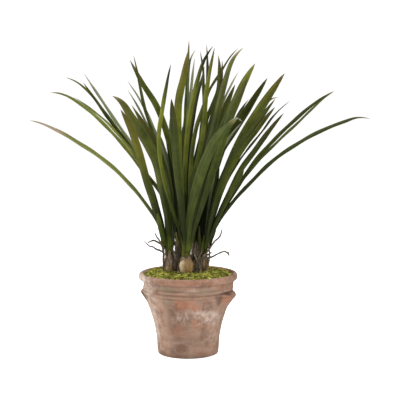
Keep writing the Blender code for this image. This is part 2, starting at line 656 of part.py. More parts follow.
def build():
    """Builds every node."""
    clear_scene()
    parts = new_collection("potted_orchid_foliage_plant")
    cutters = new_collection("cutters")
    cutters.hide_render = True
    chooser = random.Random(7)
    nodes = [
        (build_pot(parts, cutters), "pot"),
        (build_soil(parts), "soil"),
        (build_moss(parts, cutters), "moss"),
        (build_rootstock(parts, cutters), "root"),
        (build_left_roots(parts, cutters), "root"),
    ]
    for growth in GROWTHS:
        nodes.append((build_bulb(growth, chooser, parts, cutters), "bulb"))
        nodes.append((build_leaves(growth, parts, cutters), "leaf"))
    for obj, key in nodes:
        obj.data.materials.clear()
        obj.data.materials.append(finish(obj.name, key))
        obj.data.shade_smooth()
        obj.data.set_sharp_from_angle(angle=SHARP_ANGLE)


build()
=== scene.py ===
"""Potted orchid foliage plant: the finished surfaces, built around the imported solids.

Metres, +Z up. The front is -Y and the origin is the centre of the pot's flat underside.
"""
from __future__ import annotations

import itertools
import logging
import math
from dataclasses import dataclass, field
from enum import Enum

import bpy
import numpy as np
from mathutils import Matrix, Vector

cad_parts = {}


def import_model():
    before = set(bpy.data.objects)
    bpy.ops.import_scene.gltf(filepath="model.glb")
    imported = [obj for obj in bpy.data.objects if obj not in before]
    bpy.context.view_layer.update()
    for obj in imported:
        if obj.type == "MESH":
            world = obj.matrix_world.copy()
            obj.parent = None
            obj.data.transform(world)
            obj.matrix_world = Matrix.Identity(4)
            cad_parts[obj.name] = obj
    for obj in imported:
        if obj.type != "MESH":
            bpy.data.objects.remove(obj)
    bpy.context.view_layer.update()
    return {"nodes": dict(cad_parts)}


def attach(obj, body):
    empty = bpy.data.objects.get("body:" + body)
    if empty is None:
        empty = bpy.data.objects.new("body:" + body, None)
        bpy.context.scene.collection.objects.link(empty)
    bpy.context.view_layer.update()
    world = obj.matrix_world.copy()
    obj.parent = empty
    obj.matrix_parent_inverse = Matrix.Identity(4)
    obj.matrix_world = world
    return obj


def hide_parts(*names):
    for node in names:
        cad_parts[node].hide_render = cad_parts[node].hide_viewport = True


LOG = logging.getLogger("potted_orchid")
MM = 0.001
TURN = 2.0 * math.pi
Array = np.ndarray
Place = tuple[float, float, float]
Line = tuple[Place, ...]
Pair = tuple[float, float]
Table = tuple[tuple[float, ...], ...]
Colour = tuple[float, float, float]
Socket = bpy.types.NodeSocket
Tree = bpy.types.NodeTree
Material = bpy.types.Material
Piece = bpy.types.Object
# The camera's place: the outlines of leaves are given along sight lines from it.
EYE: Place = (0.030, -3.180, 0.728)
# Length below which a vector has no direction.
TINY = 1e-12
# Whole numbers that scatter the places of a lattice and the seeds, and the greatest value that comes out.
HASH_AXES = (73856093, 19349663, 83492791)
HASH_SEED = 40503
HASH_MIX = 1274126177
HASH_MASK = 0x7FFFFFFF
HASH_SHIFTS = (13, 15)
HASH_TOP = 0xFFFF
LAYER_SEED = 31
# A strand whose chord rises less than this share gets the first guide, a steeper one the second.
STEEP = 0.7
GUIDES = ((0.0, 0.0, 1.0), (1.0, 0.35, 0.0))


def ease(share: Array) -> Array:
    """3t^2 - 2t^3, which goes smoothly from 0 to 1."""
    return share * share * (3.0 - 2.0 * share)


def lattice_noise(points: Array, cell: float, seed: int) -> Array:
    """Smooth random values from -1 to 1 at points in space.

    Every corner of a cubic lattice has a value hashed from its whole-number place. A point takes the
    values of the eight corners around it, eased along each axis.

    Args:
        points: places, with x, y and z last.
        cell: side of a lattice cell in metres.
        seed: picks one of many noises.

    Returns:
        One value for each point.
    """
    spots = np.asarray(points, dtype=float) / cell
    corner = np.floor(spots).astype(np.int64)
    share = ease(spots - corner)
    total = np.zeros(spots.shape[:-1])
    for step in itertools.product((0, 1), repeat=3):
        code = np.bitwise_xor.reduce((corner + step) * HASH_AXES, axis=-1) ^ (seed * HASH_SEED)
        code = ((code ^ (code >> HASH_SHIFTS[0])) * HASH_MIX) & HASH_MASK
        value = 2.0 * ((code ^ (code >> HASH_SHIFTS[1])) & HASH_TOP) / HASH_TOP - 1.0
        total += np.prod(np.where(np.array(step) == 1, share, 1.0 - share), axis=-1) * value
    return total


def layered_noise(points: Array, cell: float, layers: int, seed: int) -> Array:
    """Noise in layers, each with half the cell and half the strength of the one before.

    Args:
        points: places, with x, y and z last.
        cell: cell of the coarsest layer in metres.
        layers: how many layers are added.
        seed: picks one of many noises.

    Returns:
        One value for each point, about -1 to 1.
    """
    total = sum(lattice_noise(points, cell / 2 ** i, seed + LAYER_SEED * i) / 2 ** i for i in range(layers))
    return total / (2.0 - 2.0 ** (1 - layers))


def drift_noise(points: Array, cell: float, seed: int) -> Array:
    """Three noises as an x, y and z shift for each point."""
    return np.stack([lattice_noise(points, cell, seed + k) for k in range(3)], axis=-1)


def spread_out(*values: Array | float) -> Array:
    """Values of any fitting shapes, stacked along a new last axis."""
    return np.stack(np.broadcast_arrays(*values), axis=-1)


def circle(count: int) -> Array:
    """Angles evenly spaced round a full turn."""
    return TURN * np.arange(count) / count


def unit(vectors: Array) -> Array:
    """Vectors scaled to length one along their last axis."""
    return vectors / np.maximum(np.linalg.norm(vectors, axis=-1, keepdims=True), TINY)


def smooth_step(start: float, end: float, value: Array) -> Array:
    """Goes smoothly from 0 at start to 1 at end, which may be the lower of the two."""
    return ease(np.clip((value - start) / (end - start), 0.0, 1.0))


def bell(value: Array) -> Array:
    """exp(-v^2): one at zero, and near nothing from two on."""
    return np.exp(-value ** 2)


def smooth_path(points: Array, per_span: int) -> Array:
    """Smooth line through all the given points.

    Each span is a cubic whose slope at a point is the mean of the two chords there, taken per unit of
    chord length, so that short spans beside long ones don't overshoot.

    Args:
        points: the points, one row each.
        per_span: samples in each span.

    Returns:
        The samples, one row each, with the last point at the end.
    """
    spots = np.asarray(points, dtype=float)
    lengths = np.linalg.norm(np.diff(spots, axis=0), axis=1)
    knots = np.concatenate(([0.0], np.cumsum(lengths)))
    chords = np.diff(spots, axis=0) / lengths[:, None]
    slopes = np.concatenate([chords[:1], 0.5 * (chords[:-1] + chords[1:]), chords[-1:]])
    shares = np.linspace(0.0, 1.0, per_span, endpoint=False)
    at = np.append((knots[:-1, None] + shares * lengths[:, None]).ravel(), knots[-1])
    return cubic_through(spots, slopes, knots, at)


def cubic_through(spots: Array, slopes: Array, knots: Array, at: Array) -> Array:
    """Values of a piecewise cubic with given points and slopes at its knots.

    Args:
        spots: points at the knots.
        slopes: slopes at the knots.
        knots: rising knot values.
        at: where the cubic is wanted.

    Returns:
        One row for each value of at.
    """
    span = np.clip(np.searchsorted(knots, at, side="right") - 1, 0, len(knots) - 2)
    length = (knots[span + 1] - knots[span])[:, None]
    t = (at - knots[span])[:, None] / length
    start = (1 + 2 * t) * (1 - t) ** 2 * spots[span] + t * (1 - t) ** 2 * length * slopes[span]
    end = t * t * (3 - 2 * t) * spots[span + 1] + t * t * (t - 1) * length * slopes[span + 1]
    return start + end


def stepped(start: Array, heading: Array, out: Array, up: Array, length: Array) -> Array:
    """Lines that go on from their start by equal steps.

    Args:
        start: first points as (line, xyz).
        heading: angle in plan of each step, as (line, step).
        out: share of each step that goes out along its heading.
        up: share of each step that goes up.
        length: length of each line.

    Returns:
        Points as (line, step + 1, xyz).
    """
    move = np.stack([np.cos(heading) * out, np.sin(heading) * out, up], axis=-1)
    move = move * (length / heading.shape[1])[:, None, None]
    return np.concatenate([start[:, None], start[:, None] + np.cumsum(move, axis=1)], axis=1)


class Cap(Enum):
    """How the two ends of a skin are closed."""

    CENTRE = "fan to a centre point"
    STRIP = "faces between the two sides of a thin ring"


@dataclass
class Surface:
    """Points, faces and per-point values of one shape before it becomes a mesh."""

    points: Array
    quads: Array
    triangles: Array
    places: Array
    values: dict[str, Array]
    finish: int = 0


def listed(grid: Array, cap: Cap) -> Array:
    """What a grid holds as one list, then the middles of its end rings if centre points close it."""
    rows = grid.reshape(-1, *grid.shape[3:])
    if cap is Cap.STRIP:
        return rows
    return np.concatenate([rows, grid[:, 0].mean(axis=1), grid[:, -1].mean(axis=1)])


def skin(rings: Array, cap: Cap, values: dict[str, Array | float], places: Array | None = None,
         finish: int = 0) -> Surface:
    """Closed skins through rings of points: ring s of skin n is joined to ring s + 1 point by point.

    A skin whose rings run the wrong way round, so that its signed volume is negative, is turned about.

    Args:
        rings: points as (skin, ring, point, xyz).
        cap: how both ends are closed.
        values: named values that fit (skin, ring, point).
        places: texture places as (skin, ring, point, 2).
        finish: number of the material slot.

    Returns:
        One surface that holds all the skins.
    """
    shape = rings.shape[:3]
    count, rows, cols = shape
    places = np.zeros(shape + (2,)) if places is None else places
    local = rings - rings[:, :1].mean(axis=2, keepdims=True)
    across = np.roll(local, -1, axis=2) - local
    along = np.zeros_like(local)
    along[:, :-1] = local[:, 1:] - local[:, :-1]
    turned = np.einsum("nskx,nskx->n", local, np.cross(across, along))[:, None, None] < 0.0
    rings = np.where(turned[..., None], rings[:, :, ::-1], rings)
    places = np.where(turned[..., None], places[:, :, ::-1], places)
    flat_values = {}
    for name, value in values.items():
        value = np.broadcast_to(value, shape)
        flat_values[name] = listed(np.where(turned, value[:, :, ::-1], value), cap)
    index = np.arange(count * rows * cols).reshape(shape)
    after = np.roll(index, -1, axis=2)
    quads = [np.stack([index[:, :-1], after[:, :-1], after[:, 1:], index[:, 1:]], axis=-1)]
    triangles = np.zeros((0, 3), dtype=int)
    if cap is Cap.STRIP:
        half = np.arange(cols // 2 - 1)
        for row, order in ((0, 1), (rows - 1, -1)):
            ends = index[:, row]
            corners = [ends[:, half], ends[:, cols - 1 - half], ends[:, cols - 2 - half], ends[:, half + 1]]
            quads.append(np.stack(corners[::order], axis=-1))
    else:
        low = np.broadcast_to(index.size + np.arange(count)[:, None], (count, cols))
        triangles = np.concatenate([
            np.stack([low, after[:, 0], index[:, 0]], axis=-1).reshape(-1, 3),
            np.stack([low + count, index[:, -1], after[:, -1]], axis=-1).reshape(-1, 3)])
    quads = np.concatenate([q.reshape(-1, 4) for q in quads])
    return Surface(listed(rings, cap), quads, triangles, listed(places, cap), flat_values, finish)


def strands(spines: Array, radii: Array, sides: int, values: dict[str, Array | float],
            finish: int = 0) -> Surface:
    """Round skins along many lines.

    The ring at a point lies across the line's direction there: centre + radius (cos a * side + sin a * up),
    with side across the direction and a guide that lies across the strand's chord, and up across both.

    Args:
        spines: points as (strand, ring, xyz).
        radii: radii as (strand, ring).
        sides: points in a ring.
        values: named values that fit (strand, ring, side).
        finish: number of the material slot.

    Returns:
        One surface that holds all the strands.
    """
    directions = unit(np.gradient(spines, axis=1))
    chord = unit(spines[:, -1] - spines[:, 0])
    spare = np.where(np.abs(chord[:, 2:]) < STEEP, *np.array(GUIDES))
    side = unit(np.cross(directions, np.cross(chord, spare)[:, None, :]))
    up = np.cross(directions, side)
    angles = circle(sides)[:, None]
    ring = np.cos(angles) * side[:, :, None] + np.sin(angles) * up[:, :, None]
    return skin(spines[:, :, None] + ring * radii[:, :, None, None], Cap.CENTRE, values, finish=finish)


def sheet(face: Array, thickness: Array | float, values: dict[str, Array | float],
          places: Array | None = None, finish: int = 0) -> Surface:
    """Thin closed shell around an open sheet of points, with the same values on both of its sides.

    The sheet's normal is the cross product of its two grid directions. One side is the sheet moved half the
    thickness along it, the other half the thickness against it, and a ring runs along one and back along
    the other.

    Args:
        face: the sheet as (row, column, xyz).
        thickness: thickness that fits (row, column).
        values: named values that fit (row, column).
        places: texture places as (row, column, 2).
        finish: number of the material slot.

    Returns:
        The shell.
    """
    shape = face.shape[:2]
    normals = unit(np.cross(np.gradient(face, axis=1), np.gradient(face, axis=0)))
    offset = 0.5 * normals * np.broadcast_to(thickness, shape)[..., None]
    both = {name: there_and_back(np.broadcast_to(value, shape)) for name, value in values.items()}
    return skin(there_and_back(face + offset, face - offset), Cap.STRIP, both,
                None if places is None else there_and_back(places), finish)


def there_and_back(one: Array, other: Array | None = None) -> Array:
    """One side of a shell and then the other, or the same once more, in reverse: (1, row, 2 * column)."""
    return np.concatenate([one, (one if other is None else other)[:, ::-1]], axis=1)[None]


def make_object(name: str, surfaces: list[Surface], finishes: list[Material]) -> Piece:
    """Builds one mesh object from surfaces.

    Args:
        name: the piece's name.
        surfaces: its shapes.
        finishes: its materials, in the order of the slots that the shapes name.

    Returns:
        The object, at the origin, with its place in its mesh.
    """
    starts = np.cumsum([0] + [len(s.points) for s in surfaces])
    quads = np.concatenate([s.quads + start for s, start in zip(surfaces, starts)])
    triangles = np.concatenate([s.triangles + start for s, start in zip(surfaces, starts)])
    slots = np.concatenate([np.full(len(s.quads), s.finish) for s in surfaces]
                           + [np.full(len(s.triangles), s.finish) for s in surfaces])
    corners = np.concatenate([quads.ravel(), triangles.ravel()]).astype(np.int32)
    first = np.concatenate([4 * np.arange(len(quads)), 4 * len(quads) + 3 * np.arange(len(triangles))])
    mesh = bpy.data.meshes.new(name)
    mesh.vertices.add(starts[-1])
    points = np.concatenate([s.points for s in surfaces])
    mesh.vertices.foreach_set("co", points.astype(np.float32).ravel())
    mesh.loops.add(len(corners))
    mesh.loops.foreach_set("vertex_index", corners)
    mesh.polygons.add(len(first))
    mesh.polygons.foreach_set("loop_start", first.astype(np.int32))
    mesh.polygons.foreach_set("material_index", slots.astype(np.int32))
    mesh.update(calc_edges=True)
    places = np.concatenate([s.places for s in surfaces])
    layer = mesh.uv_layers.new(name="place")
    layer.data.foreach_set("uv", places[corners].astype(np.float32).ravel())
    for key in sorted({k for s in surfaces for k in s.values}):
        values = np.concatenate([s.values.get(key, np.zeros(len(s.points))) for s in surfaces])
        mesh.attributes.new(key, "FLOAT", "POINT").data.foreach_set("value", values.astype(np.float32))
    mesh.validate()
    mesh.shade_smooth()
    for finish in finishes:
        mesh.materials.append(finish)
    piece = bpy.data.objects.new(name, mesh)
    bpy.context.scene.collection.objects.link(piece)
    return piece


class Wiring:
    """Adds nodes to one shader tree and joins them."""

    def __init__(self, tree: Tree) -> None:
        """Keeps the tree."""
        self.tree = tree

    def feed(self, socket: Socket, value: object) -> None:
        """Links a socket to another, or sets its own value.

        Args:
            socket: the input.
            value: an output socket, a number, or three numbers.
        """
        if isinstance(value, bpy.types.NodeSocket):
            self.tree.links.new(value, socket)
        else:
            socket.default_value = (*value, 1.0) if socket.type == "RGBA" else value

    def node(self, kind: str, settings: dict[str, object] | None = None, **inputs: object) -> bpy.types.Node:
        """Adds a node.

        Args:
            kind: the node's type.
            settings: its options.
            inputs: what feeds each input, named with _ for a space.

        Returns:
            The node.
        """
        made = self.tree.nodes.new(kind)
        for key, value in (settings or {}).items():
            setattr(made, key, value)
        for key, value in inputs.items():
            self.feed(made.inputs[key.replace("_", " ")], value)
        return made

    def value_of(self, name: str) -> Socket:
        """The piece's own value of that name."""
        return self.node("ShaderNodeAttribute", {"attribute_name": name}).outputs["Fac"]

    def maths(self, operation: str, *terms: object) -> Socket:
        """Result of a math node on up to three terms."""
        made = self.node("ShaderNodeMath", {"operation": operation})
        for socket, term in zip(made.inputs, terms):
            self.feed(socket, term)
        return made.outputs[0]

    def times(self, value: object, factor: object) -> Socket:
        """Product of two values."""
        return self.maths("MULTIPLY", value, factor)

    def vary(self, value: object, mask: Socket, strength: float) -> Socket:
        """Value moved up and down by a mask: value + strength * (mask - 0.5)."""
        return self.maths("MULTIPLY_ADD", self.maths("SUBTRACT", mask, 0.5), strength, value)

    def blend(self, share: object, low: object, high: object, mode: str = "MIX") -> Socket:
        """Colour that goes from low to high with a share."""
        made = self.node("ShaderNodeMix", {"data_type": "RGBA", "blend_type": mode})
        for number, value in ((0, share), (6, low), (7, high)):
            self.feed(made.inputs[number], value)
        return made.outputs[2]

    def range(self, value: object, low: object, high: object, to_low: float = 0.0,
              to_high: float = 1.0) -> Socket:
        """Value moved smoothly from one range to another."""
        made = self.node("ShaderNodeMapRange", {"interpolation_type": "SMOOTHSTEP"}, Value=value,
                         From_Min=low, From_Max=high, To_Min=to_low, To_Max=to_high)
        return made.outputs["Result"]

    def group(self, tree: Tree, **inputs: object) -> Socket:
        """First output of a shader node group placed with its own values."""
        made = self.tree.nodes.new("ShaderNodeGroup")
        made.node_tree = tree
        for key, value in inputs.items():
            self.feed(made.inputs[key], value)
        return made.outputs[0]


class GroupWiring(Wiring):
    """Wiring of a new shader node group with one value as its output."""

    def __init__(self, name: str, output: str, **inputs: str) -> None:
        """Makes the group.

        Args:
            name: the group's name.
            output: name of its output.
            inputs: kind of socket, Float or Vector, for each input's name.
        """
        super().__init__(bpy.data.node_groups.new(name, "ShaderNodeTree"))
        for key, kind in inputs.items():
            self.tree.interface.new_socket(key, in_out="INPUT", socket_type="NodeSocket" + kind)
        self.tree.interface.new_socket(output, in_out="OUTPUT", socket_type="NodeSocketFloat")
        self.given = self.node("NodeGroupInput").outputs
        self.result = self.node("NodeGroupOutput").inputs[0]

    def closed(self, value: Socket) -> Tree:
        """The finished group with this value as its result."""
        self.feed(self.result, value)
        return self.tree

    def noise_mask(self, vector: Socket, **inputs: object) -> Tree:
        """The finished group with noise as a mask that goes smoothly from 0 at Low to 1 at High."""
        noise = self.node("ShaderNodeTexNoise", Vector=vector, **inputs)
        return self.closed(self.range(noise.outputs["Fac"], self.given["Low"], self.given["High"]))


@dataclass
class SharedEffects:
    """Shader node groups that several finishes use."""

    mottle: Tree = field(init=False)
    grain: Tree = field(init=False)
    streaks: Tree = field(init=False)

    def __post_init__(self) -> None:
        """Builds each group once."""
        self.mottle = self.build_mottle()
        self.grain = self.build_grain()
        self.streaks = self.build_streaks()

    def build_mottle(self) -> Tree:
        """Soft patches: layered noise as a mask."""
        wiring = GroupWiring("mottle", "Mask", Vector="Vector", Scale="Float", Low="Float", High="Float")
        return wiring.noise_mask(wiring.given["Vector"], Scale=wiring.given["Scale"], Detail=5.0,
                                 Roughness=0.58, Distortion=0.35)

    def build_grain(self) -> Tree:
        """Fine grain with small pits: noise less the shadow of scattered cell middles."""
        wiring = GroupWiring("grain", "Height", Vector="Vector", Scale="Float", Pits="Float")
        vector, scale, pits = (wiring.given[name] for name in ("Vector", "Scale", "Pits"))
        noise = wiring.node("ShaderNodeTexNoise", Vector=vector, Scale=scale, Detail=4.0, Roughness=0.65)
        cells = wiring.node("ShaderNodeTexVoronoi", Vector=vector, Scale=wiring.times(scale, 0.45))
        depth = wiring.times(wiring.range(cells.outputs["Distance"], 0.05, 0.30, 1.0, 0.0), pits)
        return wiring.closed(wiring.maths("SUBTRACT", noise.outputs["Fac"], depth))

    def build_streaks(self) -> Tree:
        """Lines along the axis with the least stretch: noise that is dense across and long along."""
        wiring = GroupWiring("streaks", "Mask", Vector="Vector", Stretch="Vector", Low="Float", High="Float")
        stretched = wiring.node("ShaderNodeVectorMath", {"operation": "MULTIPLY"})
        wiring.feed(stretched.inputs[0], wiring.given["Vector"])
        wiring.feed(stretched.inputs[1], wiring.given["Stretch"])
        return wiring.noise_mask(stretched.outputs[0], Scale=1.0, Detail=3.0, Roughness=0.5)


class Coat(Wiring):
    """Wiring of a new material, with its Principled shader, object coordinates and the shared effects."""

    def __init__(self, name: str, effects: SharedEffects) -> None:
        """Starts the material."""
        self.material = bpy.data.materials.new(name)
        self.material.use_nodes = True
        super().__init__(self.material.node_tree)
        self.effects = effects
        self.place = self.node("ShaderNodeTexCoord").outputs["Object"]

    def patches(self, scale: float, low: float, high: float) -> Socket:
        """Mask of soft patches."""
        return self.group(self.effects.mottle, Vector=self.place, Scale=scale, Low=low, High=high)

    def streaks(self, stretch: Place, low: float, high: float, place: Socket | None = None) -> Socket:
        """Mask of streaks, by object coordinates if no other place is given."""
        return self.group(self.effects.streaks, Vector=self.place if place is None else place,
                          Stretch=stretch, Low=low, High=high)

    def grain(self, scale: float, pits: float) -> Socket:
        """Height of fine grain with pits."""
        return self.group(self.effects.grain, Vector=self.place, Scale=scale, Pits=pits)

    def cover(self, colour: Socket, tint: Colour | Socket, name: str, mask: Socket, strength: float,
              low: float = 0.0, high: float = 1.0) -> Socket:
        """Covers a colour with a tint where the piece's own value is high.

        Args:
            colour: what is covered.
            tint: what covers it.
            name: the piece's value.
            mask: what moves the value up and down.
            strength: how far it moves it.
            low: value at which the tint starts.
            high: value at which only the tint shows.

        Returns:
            The colour that shows.
        """
        value = self.vary(self.value_of(name), mask, strength)
        return self.blend(self.range(value, low, high), colour, tint)

    def finished(self, colour: Socket, roughness: object, height: Socket, depth: float, strength: float,
                 specular: float = 0.5) -> Material:
        """Joins the shader's inputs, with a height for its normal.

        Args:
            colour: base colour.
            roughness: how matt it is.
            height: the relief's height, about 0 to 1.
            depth: depth of the relief in metres.
            strength: share of the relief that shows.
            specular: level of its reflections.

        Returns:
            The material.
        """
        bump = self.node("ShaderNodeBump", Height=height, Distance=depth, Strength=strength)
        shader = self.tree.nodes["Principled BSDF"]
        for name, value in (("Base Color", colour), ("Roughness", roughness),
                            ("Specular IOR Level", specular), ("Normal", bump.outputs["Normal"])):
            self.feed(shader.inputs[name], value)
        return self.material


class Stain(Enum):
    """Kinds of stain on the pot, each a value that its finish reads; the dark kind is dirt and painted shade.
    """

    BARE = "bare"
    GROWTH = "growth"
    DIRT = "dirt"
    LIME = "lime"


@dataclass(frozen=True)
class TerracottaFinish:
    """Aged clay under patches of lime wash, warm bare clay, grey-green growth, and dark dirt that also paints
    shade in creases and grooves.
    """

    clay: Colour = (0.392, 0.238, 0.165)
    clay_deep: Colour = (0.262, 0.152, 0.104)
    bare: Colour = (0.400, 0.172, 0.096)
    lime: Colour = (0.570, 0.468, 0.395)
    growth: Colour = (0.270, 0.238, 0.160)
    # Dark dirt, also the colour of painted shade in the grooves, in the creases and under the lugs.
    dirt: Colour = (0.135, 0.086, 0.060)

    def material(self, effects: SharedEffects) -> Material:
        """Builds the finish."""
        coat = Coat("aged_terracotta", effects)
        broad = coat.patches(scale=24.0, low=0.36, high=0.64)
        middle = coat.patches(scale=75.0, low=0.30, high=0.70)
        fine = coat.patches(scale=310.0, low=0.30, high=0.70)
        wiped = coat.streaks(stretch=(34.0, 34.0, 95.0), low=0.40, high=0.72)
        uneven = coat.vary(coat.vary(0.0, fine, 0.16), middle, 0.46)
        colour = coat.blend(broad, self.clay_deep, self.clay)
        colour = coat.blend(coat.times(wiped, 0.22), colour, self.lime)
        for stain, tint, low, high, most in ((Stain.BARE, self.bare, 0.00, 1.05, 0.85),
                                             (Stain.GROWTH, self.growth, 0.05, 1.10, 0.80),
                                             (Stain.DIRT, self.dirt, 0.08, 1.20, 0.78),
                                             (Stain.LIME, self.lime, 0.05, 1.20, 0.90)):
            amount = coat.maths("ADD", coat.value_of(stain.value), uneven)
            colour = coat.blend(coat.range(amount, low, high, 0.0, most), colour, tint)
        tone = coat.times(coat.range(fine, 0.0, 1.0, 0.93, 1.06), coat.range(middle, 0.0, 1.0, 0.87, 1.11))
        colour = coat.blend(1.0, colour, tone, "MULTIPLY")
        specks = coat.patches(scale=620.0, low=0.62, high=0.72)
        colour = coat.blend(coat.times(specks, 0.35), colour, self.dirt)
        height = coat.maths("MULTIPLY_ADD", middle, 0.6, coat.grain(scale=900.0, pits=0.5))
        roughness = coat.range(fine, 0.0, 1.0, 0.82, 0.96)
        return coat.finished(colour, roughness, height, depth=0.0006, strength=0.55, specular=0.25)


@dataclass(frozen=True)
class MossFinish:
    """Yellow-green moss with painted shade in its gaps, and bright tips that are partly paler growth and
    partly painted highlight.
    """

    gap_shade: Colour = (0.045, 0.034, 0.007)
    body: Colour = (0.330, 0.325, 0.040)
    tip: Colour = (0.950, 0.920, 0.250)
    dead: Colour = (0.330, 0.235, 0.070)

    def material(self, effects: SharedEffects) -> Material:
        """Builds the finish."""
        coat = Coat("sheet_moss", effects)
        patch = coat.patches(scale=88.0, low=0.36, high=0.64)
        # Painted shade in the gaps between clumps, and tips that are partly the moss's paler growth and
        # partly painted highlight.
        level = coat.vary(coat.value_of("lift"), patch, 0.85)
        colour = coat.blend(coat.range(level, 0.05, 0.55), self.gap_shade, self.body)
        colour = coat.blend(coat.range(level, 0.50, 1.05), colour, self.tip)
        brown = coat.patches(scale=48.0, low=0.60, high=0.74)
        colour = coat.blend(coat.times(brown, 0.45), colour, self.dead)
        height = coat.grain(scale=1500.0, pits=0.3)
        return coat.finished(colour, 0.92, height, depth=0.0005, strength=0.6, specular=0.2)


@dataclass(frozen=True)
class LeafFinish:
    """Satin strap leaf with fine parallel veins and painted highlight along its margins; its values say how
    fresh, grey, brown and dry it is.
    """

    deep: Colour = (0.022, 0.034, 0.0040)
    light: Colour = (0.058, 0.083, 0.0080)
    fresh: Colour = (0.215, 0.235, 0.0180)
    grey: Colour = (0.190, 0.205, 0.120)
    brown: Colour = (0.165, 0.120, 0.018)
    dry: Colour = (0.460, 0.330, 0.170)
    dry_grey: Colour = (0.330, 0.300, 0.250)
    shade: Colour = (0.0060, 0.0080, 0.0012)
    # Colour of the paler rib, and of the painted highlight along the margins.
    rib: Colour = (0.140, 0.165, 0.048)

    def material(self, effects: SharedEffects) -> Material:
        """Builds the finish."""
        coat = Coat("strap_leaf", effects)
        place = coat.node("ShaderNodeUVMap", {"uv_map": "place"}).outputs["UV"]
        veins = coat.streaks((34.0, 1.6, 1.0), low=0.32, high=0.68, place=place)
        bands = coat.streaks((5.0, 3.2, 1.0), low=0.30, high=0.70, place=place)
        clouds = coat.patches(scale=26.0, low=0.35, high=0.65)
        tone = coat.maths("MULTIPLY_ADD", veins, 0.35, coat.times(bands, 0.65))
        colour = coat.blend(tone, self.deep, self.light)
        colour = coat.cover(colour, self.fresh, "fresh", clouds, 0.22)
        grey = coat.value_of("grey")
        colour = coat.blend(grey, colour, self.grey)
        colour = coat.cover(colour, self.brown, "brown", bands, 0.30)
        colour = coat.blend(self.rib_and_edge_highlight_share(coat, place), colour, self.rib)
        colour = coat.blend(coat.value_of("shade"), colour, self.shade)
        dry_tint = coat.blend(grey, self.dry, self.dry_grey)
        colour = coat.cover(colour, dry_tint, "dry", veins, 0.25, low=0.15, high=0.95)
        roughness = coat.range(veins, 0.0, 1.0, 0.42, 0.54)
        return coat.finished(colour, roughness, veins, depth=0.00035, strength=0.45, specular=0.11)

    def rib_and_edge_highlight_share(self, coat: Coat, place: Socket) -> Socket:
        """Share of the paler rib and of the painted highlight along the margins, by how far the place across
        the blade is from its middle.
        """
        parts = coat.node("ShaderNodeSeparateXYZ")
        coat.feed(parts.inputs[0], place)
        across = coat.maths("ABSOLUTE", coat.maths("SUBTRACT", coat.maths("FRACT", parts.outputs["X"]), 0.5))
        rib = coat.range(across, 0.0, 0.06, 0.40, 0.0)
        return coat.maths("ADD", rib, coat.range(across, 0.44, 0.50, 0.0, 0.45))


@dataclass(frozen=True)
class BulbFinish:
    """Smooth ribbed stem base, tan to ochre, with pale streaks, a cream painted highlight on one side and
    painted shade at its foot and neck.
    """

    skin: Colour = (0.300, 0.165, 0.050)
    pale: Colour = (0.560, 0.440, 0.250)
    dark: Colour = (0.105, 0.066, 0.036)

    def material(self, effects: SharedEffects) -> Material:
        """Builds the finish."""
        coat = Coat("stem_base", effects)
        lines = coat.streaks((520.0, 520.0, 26.0), low=0.30, high=0.72)
        patch = coat.patches(scale=95.0, low=0.34, high=0.70)
        colour = coat.blend(coat.times(lines, 0.18), self.skin, self.pale)
        # pale: painted highlight on one side; dark: painted shade.
        colour = coat.cover(colour, self.pale, "pale", patch, 0.35, low=0.20, high=0.95)
        colour = coat.cover(colour, self.dark, "dark", lines, -0.5, low=0.10)
        height = coat.maths("ADD", lines, coat.times(patch, 0.5))
        roughness = coat.range(lines, 0.0, 1.0, 0.50, 0.72)
        return coat.finished(colour, roughness, height, depth=0.0005, strength=0.6)


@dataclass(frozen=True)
class HuskFinish:
    """Dry papery sheath: grey-white to brown streaks along its fibres."""

    brown: Colour = (0.150, 0.096, 0.055)
    straw: Colour = (0.440, 0.340, 0.215)
    grey: Colour = (0.360, 0.310, 0.240)
    dark: Colour = (0.040, 0.028, 0.018)

    def material(self, effects: SharedEffects) -> Material:
        """Builds the finish."""
        coat = Coat("papery_husk", effects)
        fibres = coat.streaks((620.0, 620.0, 30.0), low=0.40, high=0.70)
        patch = coat.patches(scale=150.0, low=0.38, high=0.66)
        colour = coat.blend(fibres, self.brown, coat.blend(patch, self.straw, self.grey))
        # dark: painted shade on the husks of the growths behind, and the fibres' own darker tone.
        colour = coat.blend(coat.value_of("dark"), colour, self.dark)
        return coat.finished(colour, 0.85, fibres, depth=0.0004, strength=0.7)


@dataclass(frozen=True)
class RootFinish:
    """Dark wiry root with scaly bark and lighter flecks."""

    dark: Colour = (0.034, 0.023, 0.014)
    bark: Colour = (0.120, 0.085, 0.053)
    fleck: Colour = (0.400, 0.330, 0.215)

    def material(self, effects: SharedEffects) -> Material:
        """Builds the finish."""
        coat = Coat("wiry_root", effects)
        colour = coat.blend(coat.patches(scale=420.0, low=0.36, high=0.66), self.dark, self.bark)
        flecks = coat.patches(scale=260.0, low=0.44, high=0.62)
        light = coat.times(coat.range(flecks, 0.0, 1.0, 0.15, 0.70), coat.value_of("fleck"))
        colour = coat.blend(light, colour, self.fleck)
        return coat.finished(colour, 0.88, coat.grain(scale=1400.0, pits=0.4), depth=0.0005, strength=0.8)


@dataclass(frozen=True)
class SoilFinish:
    """Dark crumbly potting soil with bits of bark."""

    dark: Colour = (0.020, 0.013, 0.009)
    bark: Colour = (0.120, 0.070, 0.038)

    def material(self, effects: SharedEffects) -> Material:
        """Builds the finish."""
        coat = Coat("crumbly_soil", effects)
        colour = coat.blend(coat.patches(scale=240.0, low=0.40, high=0.62), self.dark, self.bark)
        return coat.finished(colour, 0.95, coat.grain(scale=500.0, pits=0.8), depth=0.0015, strength=1.0)


def settle(piece: Piece, slot: str, *nodes: str) -> None:
    """Lets a piece ride on the part's one body and stand for its solids.

    Args:
        piece: the finished piece.
        slot: not used.
        nodes: names of the solids that it stands for.
    """
    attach(piece, "root")
    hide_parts(*nodes)
    faces = sum(len(p.vertices) - 2 for p in piece.data.polygons)
    LOG.info("%s stands for %s with %d triangles", piece.name, ", ".join(nodes), faces)


